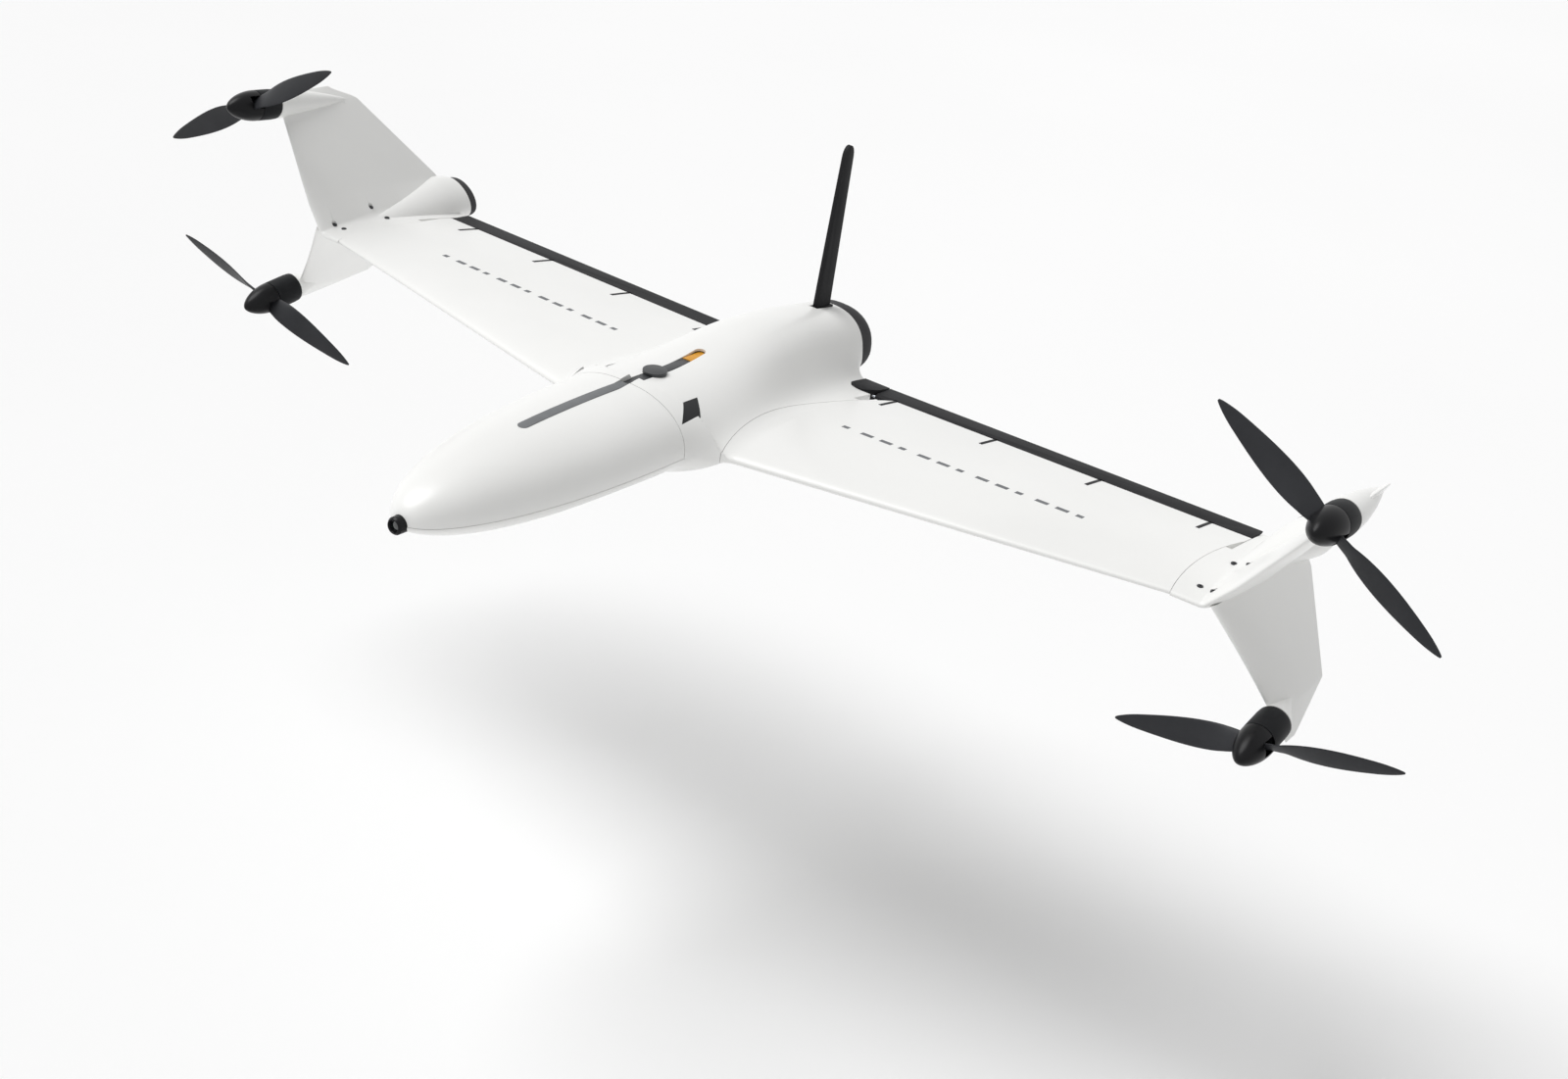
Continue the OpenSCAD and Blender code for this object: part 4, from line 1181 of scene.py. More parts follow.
# Vulcanised rubber feet: black, matt, slightly chalky.
RUBBER = Finish("black_rubber", "rubber_black", "#2a2a2c", "#343436", 0.78, 0.9, 0.06, 14.0)
# Pultruded carbon tube: black with long fine streaks.
CARBON = Finish("pultruded_carbon", "carbon", "#1e1f22", "#2c2e32", 0.35, 0.9, 0.02, 3.0, coat=0.5,
                stretch=(0.06, 1.0, 1.0))
# Heat-shrunk PVC over the battery cells.
BATTERY_WRAP = Finish("battery_shrink_wrap", "battery_wrap", "#2c3338", "#343c42", 0.3, 5.0, 0.05, 30.0)
# Woven nylon webbing: coarse, with a soft edge of light.
WEBBING = Finish("nylon_webbing", "webbing", "#55585c", "#46494d", 0.8, 1.2, 0.25, 6.0, sheen=0.4)
# Silicone-insulated lead: bright red, rubbery.
LEAD_RED = Finish("red_silicone_insulation", "lead_red", "#a32222", "#921c1c", 0.5, 1.5, 0.02, 12.0)
# Braided harness sleeve.
HARNESS = Finish("braided_sleeve", "harness_black", "#232427", "#303236", 0.65, 0.9, 0.12, 3.0)
# Solder-masked fibreglass board.
BOARD_GREEN = Finish("solder_masked_board", "board_green", "#2f5a3f", "#27503a", 0.35, 1.4, 0.015, 5.0)
# Enamelled copper windings.
COPPER = Finish("enamelled_copper", "copper", "#b87333", "#a4602a", 0.3, 0.7, 0.06, 2.0, metallic=0.9)
# Turned aluminium motor bell.
BELL = Finish("turned_aluminium", "aluminium_bell", "#9a9da1", "#8b8e92", 0.3, 0.5, 0.01, 6.0, metallic=1.0)
# Fibre-filled nylon blades: dark grey, satin.
BLADE = Finish("fibre_filled_nylon_blade", "blade_grey", "#2c2d30", "#26272a", 0.45, 1.2, 0.015, 20.0, ior=1.3)
# Screen-printed marking ink, thin and matt. It rides in the blades' slot: the record has none for ink.
INK = Finish("printed_grey_ink", "blade_grey", "#6f7174", "#66686b", 0.6, 0.8, 0.01, 12.0)

CAD_FINISHES: dict[str, Finish] = {
    "main_hull": WHITE_SHELL, "nose_cover": WHITE_SHELL, "grip_strip": GRIP_GREY, "latch_tongue": LATCH_DARK,
    "latch_housing": LATCH_DARK, "latch_lever": LATCH_DARK, "lever_tab": AMBER, "latch_pin": STEEL,
    "sensor_barrel": SPINNER_BLACK, "sensor_lens": LENS_GLASS, "side_windows": SMOKED, "tail_cap": RUBBER,
    "antenna_blade": CHARCOAL, "antenna_foot": CHARCOAL, "camera_body": COWL_BLACK, "camera_lenses": LENS_GLASS,
    "belly_window": SMOKED, "belly_pin": CHARCOAL, "equipment_tray": CARBON, "battery": BATTERY_WRAP,
    "battery_strap": WEBBING, "power_lead": LEAD_RED, "esc_boards": BOARD_GREEN, "autopilot": BOARD_GREEN,
    "radio_module": COWL_BLACK, "gps_module": CHARCOAL, "servos": CHARCOAL, "torque_rod_left": STEEL,
    "torque_rod_right": STEEL, "wing_left": WHITE_SHELL, "wing_right": WHITE_SHELL, "elevon_left": CHARCOAL,
    "elevon_right": CHARCOAL, "hinge_tabs": CHARCOAL, "hinge_pins_left": STEEL, "hinge_pins_right": STEEL,
    "root_blocks": CHARCOAL, "main_spar": CARBON, "rear_spar": CARBON, "motor_harness": HARNESS,
    "winglet_left": WHITE_SHELL, "winglet_right": WHITE_SHELL, "pod_caps": RUBBER, "tip_screws": SCREW_BLACK,
    "motor_cowls": COWL_BLACK, "motor_stators": COPPER,
    "rotor_upper_left": BELL, "rotor_upper_right": BELL, "rotor_lower_left": BELL, "rotor_lower_right": BELL,
    "prop_upper_left": BLADE, "prop_upper_right": BLADE, "prop_lower_left": BLADE, "prop_lower_right": BLADE,
    "spinner_upper_left": SPINNER_BLACK, "spinner_upper_right": SPINNER_BLACK,
    "spinner_lower_left": SPINNER_BLACK, "spinner_lower_right": SPINNER_BLACK,
}


@dataclass
class Frame:
    """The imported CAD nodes, dressed as they stand or copied with a smoother skin."""

    nodes: dict[str, bpy.types.Object]

    def body(self, node: str) -> str:
        """The body that a node rides on."""
        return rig.body_of(self.nodes[node])[0]

    def dress(self) -> None:
        """Gives every CAD node its finish."""
        for name, obj in self.nodes.items():
            material = CAD_FINISHES[name].build()
            if obj.data.materials:
                for k in range(len(obj.data.materials)):
                    obj.data.materials[k] = material
            else:
                obj.data.materials.append(material)
        log.info("dressed %d CAD nodes", len(self.nodes))

    def softened(self, node: str, bevel: float = 0.25, angle: float = 30.0,
                 finish: Finish | None = None) -> bpy.types.Object:
        """Replaces a node by a merged copy with small rounded edges and smooth shading.

        Args:
            node: the CAD node.
            bevel: the edge radius in millimetres.
            angle: edges sharper than this in degrees are rounded.
            finish: another finish than the node's own.

        Returns:
            The copy, riding on the node's body.
        """
        copy = copy_of(self.nodes[node], node + "_part")
        bm = bmesh.new()
        bm.from_mesh(copy.data)
        bmesh.ops.remove_doubles(bm, verts=bm.verts, dist=2e-6)
        bmesh.ops.dissolve_limit(bm, angle_limit=math.radians(0.4), verts=bm.verts, edges=bm.edges)
        bm.to_mesh(copy.data)
        bm.free()
        if bevel > 0:
            mod = copy.modifiers.new("edge", "BEVEL")
            mod.width, mod.segments, mod.limit_method = bevel / 1000, 2, "ANGLE"
            mod.angle_limit = math.radians(angle)
            mod.use_clamp_overlap = True
            freeze(copy)
        shade(copy, None, angle)
        finish_piece(copy, finish or CAD_FINISHES[node], self.body(node), node)
        return copy


# ---------------------------------------------------------------- wings


def tip_zone(extra: float) -> bpy.types.Object:
    """Everything outboard of the winglet seam, grown by a gap.

    Args:
        extra: the gap in millimetres.

    Returns:
        The zone.
    """
    x, y, r = TIP_SEAM
    zone = upright(x, y, r + extra, -130, 130, 360)
    return carve(zone, Cut.JOIN, block((TIP_X + 1 - extra, 68, -130), (TIP_X + 200, 188, 130)))


@dataclass
class WingPanel:
    """The white panels between the root seam and the winglet seam."""

    across: int = 64
    tab_x0: float = 89.2
    tab_gap: float = 30.8
    tab_w: float = 2.8
    tab_len: float = 22.0
    tab_z: float = 0.55
    tab_fit: float = 0.05
    reach: float = 30.0

    def tabs(self) -> list[float]:
        """Where the hinge tabs sit along the span."""
        pitch = (TIP_X - self.tab_x0 - self.tab_gap) / 3
        return [self.tab_x0 + k * pitch for k in range(4)]

    def skin(self) -> bpy.types.Object:
        """The closed panel skin on the same field as the body's fairing."""
        xs = np.r_[np.arange(60.2, 104, 1.6), np.arange(104, TIP_X + 8, 7.0), TIP_X + 8]
        low, high = WING.front(xs) - 9, WING.front(xs) + 4
        level = WING.mid(np.zeros_like(xs), xs)
        for _ in range(30):
            y = (low + high) / 2
            out = airframe(np.stack([xs, y, level], axis=-1)) > 0
            low, high = np.where(out, y, low), np.where(out, high, y)
        front = high
        u = 0.5 * (1 - np.cos(np.pi * np.arange(self.across + 1) / self.across))
        y = front[:, None] + u[None] * (WING.back(xs) - front)[:, None]
        share = np.clip((y - WING.front(xs)[:, None]) / WING.chord(xs)[:, None], 0, 1)
        x = np.broadcast_to(xs[:, None], y.shape)
        mid = WING.mid(share, x)
        sides = []
        for sign in (1, -1):
            near, far = np.zeros_like(y), np.full_like(y, self.reach)
            for _ in range(30):
                t = (near + far) / 2
                out = airframe(np.stack([x, y, mid + sign * t], axis=-1)) > 0
                far, near = np.where(out, t, far), np.where(out, near, t)
            sides.append(np.stack([x, y, mid + sign * near], axis=-1))
        top, under = sides
        return loft("wing_skin", np.concatenate([top[:, ::-1], under[:, 1:]], axis=1))

    def cove(self) -> bpy.types.Object:
        """Room for the elevon's round nose and for the elevon behind it."""
        frame = HINGE.frame()
        ends = (-14, TIP_X - HINGE.x0 + 3.2)
        room = bar(circle(HINGE.radius + HINGE.gap, 48), ends, frame)
        return carve(room, Cut.JOIN, bar([(-0.8, -20), (59, -20), (59, 20), (-0.8, 20)], ends, frame))

    def build(self, cad: "Frame") -> list[bpy.types.Object]:
        """Builds, dresses and seats both panels.

        Args:
            cad: the CAD nodes that the panels stand for.

        Returns:
            The right and the left panel.
        """
        panel = self.skin()
        x, y, r = ROOT_SEAM
        carve(panel, Cut.KEEP, upright(x, y, r, turns=360))
        inner_y = HINGE.y(40)
        carve(panel, Cut.TAKE, tip_zone(HINGE.gap), self.cove(),
              block((40, inner_y - 8, -40), (HINGE.x0, inner_y + 72, 40)),
              bar(circle(*MAIN_SPAR_BORE), (0, TIP_X - 50), SIDEWAYS),
              bar(circle(*REAR_SPAR_BORE), (0, 206), SIDEWAYS),
              bar(circle(*HARNESS_BORE), (0, TIP_X + 24), SIDEWAYS))
        for tab in self.tabs():
            front = HINGE.y(tab) - self.tab_len - HINGE.radius
            carve(panel, Cut.TAKE, block((tab - self.tab_w / 2 - self.tab_fit, front, HINGE.z + self.tab_z),
                                         (tab + self.tab_w / 2 + self.tab_fit, HINGE.y(tab), HINGE.z + 12)))
        panel.name = "wing_panel_right"
        twin = mirrored(panel, "wing_panel_left")
        for piece, node in ((panel, "wing_right"), (twin, "wing_left")):
            shade(piece, airframe)
            finish_piece(piece, WHITE_SHELL, cad.body(node), node)
        return [panel, twin]


# ---------------------------------------------------------------- winglets


@dataclass(frozen=True)
class Drive:
    """One drive: its place and tilt, the room its cowl takes, and the stub behind it."""

    inset: float
    y: float
    z: float
    tilt: float
    cowl_back: float
    cowl_front: float
    stub: float
    stub_lean: float


UPPER_DRIVE = Drive(inset=0.0, y=-53.5, z=83.5, tilt=-3.4, cowl_back=20.5, cowl_front=40.0, stub=78.0,
                    stub_lean=2.8)
LOWER_DRIVE = Drive(inset=12.0, y=-37.8, z=-81.5, tilt=9.6, cowl_back=25.5, cowl_front=35.0, stub=40.0,
                    stub_lean=8.0)


def drive(up: bool) -> Drive:
    """The upper or the lower drive."""
    return UPPER_DRIVE if up else LOWER_DRIVE


@dataclass(frozen=True)
class FinLines:
    """Lines of the two fins, the bend, the tail pod and the stubs of a winglet."""

    root_x: float = TIP_X + 28
    root_z: float = -7.0
    upper_lean: float = 36.3
    lower_lean: float = 34.7
    lower_out: float = 3.5
    upper_len: float = 119.0
    lower_len: float = 104.0
    lower_break: float = 84.0
    thick: float = 0.085
    bend_fore: float = 6.0
    bend_aft: float = 38.0
    pod_y0: float = -30.0
    pod_y: float = BODY.tail - 22 + 12
    pod_half: float = 23.0
    pod_flat: float = 0.6
    pod_tilt: float = 31.0
    pod_full: float = 0.88
    pod_rim: float = 0.9
    nacelle: float = 12.4
    half_span: float = 487.5

    def slant(self, s: float, up: bool) -> tuple[float, float, float, float]:
        """Place (x, z) and direction (x, z) of a fin's centreline at slant length s."""
        lean = math.radians(self.upper_lean if up else self.lower_lean)
        dx, dz = math.sin(lean), math.cos(lean) * (1 if up else -1)
        return self.root_x + (0 if up else self.lower_out) + s * dx, self.root_z + s * dz, dx, dz

    def edges(self, s: float, up: bool) -> tuple[float, float]:
        """Leading and trailing edge at slant length s."""
        if up:
            front = mix(-39.5, -29.0, s / 95)
            back = min(113.0, 131 - 0.708 * s) - 16 * float(smooth((s - 104) / (self.upper_len - 104)))
            return front, back
        front = -38 + 0.32 * s + 2.4 * math.sin(math.pi * s / self.lower_len)
        main, tip = 115.8 - 0.52 * s, 72 - 3.15 * (s - self.lower_break)
        return front, min(108.0, main) if s < self.lower_break else min(main, tip)

    def stations(self, n: int = 44) -> tuple[Array, Array]:
        """Chord shares and sides of a section's points: over the top, then back underneath."""
        u = 0.5 * (1 + np.cos(np.pi * np.arange(n + 1) / n))
        return np.r_[u, u[-2::-1]], np.r_[np.ones(n + 1), -np.ones(n)]

    def ring(self, s: float, up: bool) -> Array:
        """One straight fin section."""
        u, side = self.stations()
        x, z, dx, dz = self.slant(s, up)
        front, back = self.edges(s, up)
        left = (self.upper_len if up else self.lower_len) - s
        thin = math.sqrt(max(0.02, 1 - ((9 - left) / 9.1) ** 2)) if left < 9 else 1.0
        h = side * thin * WING.half(u, back - front, self.thick)
        return np.stack([x - h * dz, front + u * (back - front), z + h * dx], axis=1)

    def bend_ring(self, t: float) -> Array:
        """A section on the way round from the wing into the upper fin.

        Args:
            t: 0 at the wing and 1 at the fin.

        Returns:
            The points.
        """
        u, side = self.stations()
        whole = math.radians(90 - self.upper_lean)
        a = whole * t
        front, back = mix(-39.5, -38.5, t), mix(110.0, 113.0, t)
        radius = mix(self.bend_fore, self.bend_aft, u)
        x = self.root_x - 3.5 - radius * math.tan(whole / 2) + radius * math.sin(a)
        z = self.root_z - 1 + radius * (1 - math.cos(a))
        h = side * WING.half(u, back - front, mix(WING.thick, self.thick, t))
        sag = (1 - t) * u * (4 * WING.camber * (1 - u) * (back - front) - 3.5)
        return np.stack([x - h * math.sin(a), front + u * (back - front), z + sag + h * math.cos(a)], axis=1)

    def wing_ring(self, x: float) -> Array:
        """A section of the wing itself."""
        u, side = self.stations()
        chord = WING.chord(x)
        z = WING.mid(u, np.full_like(u, x)) + side * WING.half(u, chord)
        return np.stack([np.full_like(u, x), WING.front(x) + u * chord, z], axis=1)

    def upper(self) -> bpy.types.Object:
        """The block and the upper fin as one loft, its top edge rounded off."""
        top = self.upper_len
        tip = top - 15 * (1 - np.sin(np.linspace(0, math.pi / 2, 16)))[::-1]
        straight = [self.ring(float(s), True) for s in np.r_[tip, np.arange(100, 26, -6.0), 24]]
        bend = [self.bend_ring(float(t)) for t in np.linspace(1, 0, 25)]
        return loft("upper_fin", np.stack(straight + bend + [self.wing_ring(TIP_X - 6)]))

    def lower(self) -> bpy.types.Object:
        """The lower fin."""
        low = self.lower_len
        tip = low - 12 * (1 - np.sin(np.linspace(0, math.pi / 2, 12)))[::-1]
        rings = [self.ring(float(s), False) for s in np.r_[tip, np.arange(91, 84, -1.0), self.lower_break,
                                                             np.arange(83, 0, -4.0), -2]]
        return loft("lower_fin", np.stack(rings))

    def pod_ring(self, y: float, k: float, drift: float, n: int = 96) -> Array:
        """An oval section of the tail pod: k is its size, drift its move inboard."""
        a = 2 * np.pi * np.arange(n) / n
        u, v = k * self.pod_half * np.cos(a), k * self.pod_half * self.pod_flat * np.sin(a)
        c, s = math.cos(math.radians(self.pod_tilt)), math.sin(math.radians(self.pod_tilt))
        return np.stack([self.root_x + 3 - 20 * drift + u * c - v * s, np.full(n, y),
                         -2 - 6 * drift + u * s + v * c], axis=1)

    def pod(self) -> bpy.types.Object:
        """The tail pod."""
        t = np.r_[np.linspace(0, 0.86, 44), np.linspace(0.88, 1, 12)]
        k = (0.03 + 0.97 * np.minimum(1, t / self.pod_full) ** 1.2
             * (1 - (1 - self.pod_rim) * (np.maximum(0, t - self.pod_full) / (1 - self.pod_full)) ** 2))
        rings = [self.pod_ring(mix(self.pod_y0, self.pod_y, a), b, 1 - b) for a, b in zip(t, k)]
        return loft("pod", np.stack(rings))

    def cap(self) -> bpy.types.Object:
        """The rubber cap behind the pod, with a flat face to stand on."""
        start = self.pod_rim - 0.02
        rings = [self.pod_ring(mix(BODY.tail, self.pod_y, a * a), mix(0.5, start, math.sqrt(a * (2 - a))),
                               1 - start) for a in np.linspace(0, 1, 15)]
        return loft("pod_cap_right", np.stack(rings))

    def hub(self, up: bool) -> Array:
        """Frame of a drive: local Z runs forward along the thrust line."""
        d = drive(up)
        return shift(self.half_span - self.nacelle - d.inset, d.y, d.z) @ turn("X", 90 + d.tilt)

    def stub(self, up: bool) -> bpy.types.Object:
        """The stub that carries a cowl and fades into the fin.

        Args:
            up: whether it is the upper drive.

        Returns:
            The stub.
        """
        r, t = self.nacelle - 0.5, np.linspace(0, 1, 33)[1:]
        d = drive(up)
        radii = r * (1 - t ** 1.6) + 1.5 * t if up else r * (1 - t) ** 1.3 + 0.4 * t
        profile = [(0.0, 2.0), (r, 2.0), (r, 0.0)]
        profile += [(float(a), float(-d.stub * b)) for a, b in zip(radii, t)]
        profile += [(0.0, -d.stub)]
        return spun("stub", profile, self.hub(up) @ shift(0, 0, -d.cowl_back) @ turn("Y", d.stub_lean), 72)


FINS = FinLines()
# Where the four screws of the right tip block bear.
SCREW_SEATS = ((FINS.root_x - 14.1, -23.8, -3.2), (FINS.root_x - 13.2, 26.0, -2.2),
               (FINS.root_x - 4.0, -25.0, -2.4), (FINS.root_x - 0.5, 19.0, 4.4))


@dataclass
class Winglet:
    """White tip blocks with their fins, pods and stubs, and the pods' rubber caps."""

    head_r: float = 2.1
    head_gap: float = 0.12
    shank_r: float = 1.3
    cowl_gap: float = 1.2

    def shape(self) -> bpy.types.Object:
        """The right winglet, joined and cut."""
        piece = carve(FINS.upper(), Cut.KEEP, tip_zone(0))
        carve(piece, Cut.JOIN, FINS.lower(), FINS.pod(), FINS.stub(True), FINS.stub(False))
        rooms = [bar(circle(FINS.nacelle + self.cowl_gap, 96), (-drive(up).cowl_back, drive(up).cowl_front),
                     FINS.hub(up)) for up in (True, False)]
        elevon_end = bar([(-40, -25), (40, -25), (40, 25), (-40, 25)],
                         (TIP_X + 0.2 - 60 - HINGE.x0, TIP_X + 1.4 - HINGE.x0), HINGE.frame())
        carve(piece, Cut.TAKE, *rooms, block((300, FINS.pod_y, -70), (700, FINS.pod_y + 90, 70)), elevon_end,
              bar(circle(*HARNESS_BORE), (0, TIP_X + 24), SIDEWAYS))
        for seat in SCREW_SEATS:
            place = shift(*seat)
            carve(piece, Cut.TAKE, bar(circle(self.shank_r, 32), (-6, 1), place),
                  bar(circle(self.head_r + self.head_gap, 48), (0, 34), place))
        return piece

    def build(self, cad: "Frame") -> None:
        """Builds, dresses and seats the winglets and their caps.

        Args:
            cad: the CAD nodes that the pieces stand for.
        """
        right = self.shape()
        right.name = "winglet_shell_right"
        shade(right, None, 44)
        left = mirrored(right, "winglet_shell_left")
        caps = FINS.cap()
        other = mirrored(caps, "pod_cap_left")
        for piece, node in ((right, "winglet_right"), (left, "winglet_left")):
            finish_piece(piece, WHITE_SHELL, cad.body(node), node)
        for piece in (caps, other):
            shade(piece, None, 50)
            finish_piece(piece, RUBBER, cad.body("pod_caps"), "pod_caps")


# ---------------------------------------------------------------- repeating small parts


@dataclass(frozen=True)
class Repeater:
    """Geometry Nodes group that puts one small part at every point of a carrier."""

    name: str
    scale: float = 1.0
    spread: float = 0.0
    seed: int = 7

    def group(self, part: bpy.types.Object, material: bpy.types.Material) -> bpy.types.NodeTree:
        """Builds the node group with its named inputs.

        Args:
            part: the small part.
            material: the copies' material.

        Returns:
            The group.
        """
        tree = bpy.data.node_groups.new(self.name, "GeometryNodeTree")
        face = tree.interface
        face.new_socket(name="Geometry", in_out="INPUT", socket_type="NodeSocketGeometry")
        face.new_socket(name="Scale", in_out="INPUT", socket_type="NodeSocketFloat")
        face.new_socket(name="Turn Spread", in_out="INPUT", socket_type="NodeSocketFloat")
        face.new_socket(name="Seed", in_out="INPUT", socket_type="NodeSocketInt")
        face.new_socket(name="Geometry", in_out="OUTPUT", socket_type="NodeSocketGeometry")
        source = add(tree, "NodeGroupInput")
        shape = add(tree, "GeometryNodeObjectInfo")
        shape.inputs["Object"].default_value = part
        less = add(tree, "ShaderNodeMath", {0: source.outputs["Turn Spread"]}, operation="MULTIPLY", i1=-1.0)
        chance = add(tree, "FunctionNodeRandomValue", {"Seed": source.outputs["Seed"]}, data_type="FLOAT")
        tree.links.new(less.outputs[0], chance.inputs[2])
        tree.links.new(source.outputs["Turn Spread"], chance.inputs[3])
        angles = add(tree, "ShaderNodeCombineXYZ", {2: chance.outputs[1]})
        copies = add(tree, "GeometryNodeInstanceOnPoints", {
            "Points": source.outputs["Geometry"], "Instance": shape.outputs["Geometry"],
            "Rotation": angles.outputs[0], "Scale": source.outputs["Scale"]})
        real = add(tree, "GeometryNodeRealizeInstances", {0: copies.outputs[0]})
        paint = add(tree, "GeometryNodeSetMaterial", {"Geometry": real.outputs[0]})
        paint.inputs["Material"].default_value = material
        add(tree, "NodeGroupOutput", {0: paint.outputs[0]})
        return tree

    def spread_over(self, points: Sequence[Sequence[float]], part: bpy.types.Object,
                    finish: Finish) -> bpy.types.Object:
        """Makes one plain mesh with a copy of the part at every point.

        Args:
            points: places in flight millimetres.
            part: the small part, modelled round the frame's origin; it is removed.
            finish: the copies' finish.

        Returns:
            The mesh object.
        """
        carrier = mesh_object(self.name, np.array(points, float), [])
        tree = self.group(part, finish.build())
        mod = carrier.modifiers.new("repeat", "NODES")
        mod.node_group = tree
        values = {"Scale": self.scale, "Turn Spread": math.radians(self.spread), "Seed": self.seed}
        for item in tree.interface.items_tree:
            if item.in_out == "INPUT" and item.name in values:
                mod[item.identifier] = values[item.name]
        carrier.update_tag()
        freeze(carrier)
        drop(part)
        bpy.data.node_groups.remove(tree)
        return carrier


# CAD nodes whose copies get rounded edges, and those that only get smooth shading.
ROUNDED_NODES = (
    "antenna_blade", "antenna_foot", "tail_cap", "grip_strip", "latch_tongue", "latch_housing", "latch_lever",
    "lever_tab", "sensor_barrel", "belly_pin", "root_blocks", "elevon_left", "elevon_right", "servos",
    "battery", "camera_body", "motor_cowls")
SMOOTHED_NODES = (
    "sensor_lens", "side_windows", "camera_lenses", "hinge_tabs", "main_spar", "rear_spar", "motor_harness",
    "power_lead", "latch_pin", "spinner_upper_left", "spinner_upper_right", "spinner_lower_left",
    "spinner_lower_right", "rotor_upper_left", "rotor_upper_right", "rotor_lower_left", "rotor_lower_right")

# Sets a small part round the row frame's origin, so that its copies keep their places.
AT_ORIGIN = shift(0, -PLACE.y, -PLACE.z)


@dataclass
class SmallParts:
    """Screws in the tip blocks, chips on the boards and the softened small mouldings."""

    shank_r: float = 1.29
    head_r: float = 2.1
    head_h: float = 1.5
    length: float = 6.0
    recess_r: float = 1.0
    chip: tuple[float, float, float] = (4.2, 3.4, 0.9)
    board_xs: tuple[float, ...] = (-14, 14)
    board_ys: tuple[float, ...] = (-166, -137)
    chip_xs: tuple[float, ...] = (-6, 0, 6)
    chip_ys: tuple[float, ...] = (-9, -3, 3, 9)

    def screw(self) -> bpy.types.Object:
        """One socket-head screw, seat at the origin."""
        profile = [(0.0, -self.length), (self.shank_r - 0.3, -self.length), (self.shank_r, 0.3 - self.length),
                   (self.shank_r, 0.0), (self.head_r, 0.0), (self.head_r, self.head_h - 0.25),
                   (self.head_r - 0.08, self.head_h - 0.08),
                   (self.head_r - 0.25, self.head_h), (0.0, self.head_h)]
        piece = spun("screw", profile, AT_ORIGIN, 40)
        carve(piece, Cut.TAKE, bar(circle(self.recess_r, 6), (0.6, 3), AT_ORIGIN))
        shade(piece, None, 32)
        return piece

    def one_chip(self) -> bpy.types.Object:
        """One chamfered chip on its solder feet."""
        a, b, h = self.chip

        def ring(x: float, y: float, z: float) -> list[tuple[float, float, float]]:
            """A rectangle of the given half sizes at a height."""
            return [(-x, -y - PLACE.y, z - PLACE.z), (x, -y - PLACE.y, z - PLACE.z),
                    (x, y - PLACE.y, z - PLACE.z), (-x, y - PLACE.y, z - PLACE.z)]
        steps = ((0, -0.05), (0, 0.15), (0.15, 0.25), (0.15, h - 0.15), (0.3, h))
        return loft("chip", np.array([ring(a / 2 - inset, b / 2 - inset, z) for inset, z in steps]))

    def build(self, cad: "Frame") -> None:
        """Builds and seats them all.

        Args:
            cad: the CAD nodes that the pieces stand for.
        """
        seats = [(side * x, y, z) for side in (1, -1) for x, y, z in SCREW_SEATS]
        screws = Repeater("tip_screw_set", spread=30).spread_over(seats, self.screw(), SCREW_BLACK)
        finish_piece(screws, SCREW_BLACK, cad.body("tip_screws"), "tip_screws")
        _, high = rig.box("esc_boards")
        top = float(PLACE.flight(np.array(high))[2])
        spots = [(x + u, y + v, top) for x in self.board_xs for y in self.board_ys
                 for u in self.chip_xs for v in self.chip_ys]
        chips = Repeater("board_chips", spread=2, seed=11).spread_over(spots, self.one_chip(), COWL_BLACK)
        finish_piece(chips, COWL_BLACK, cad.body("esc_boards"))
        for node in ROUNDED_NODES:
            cad.softened(node, 0.2)
        for node in SMOOTHED_NODES:
            cad.softened(node, 0.0, 42)


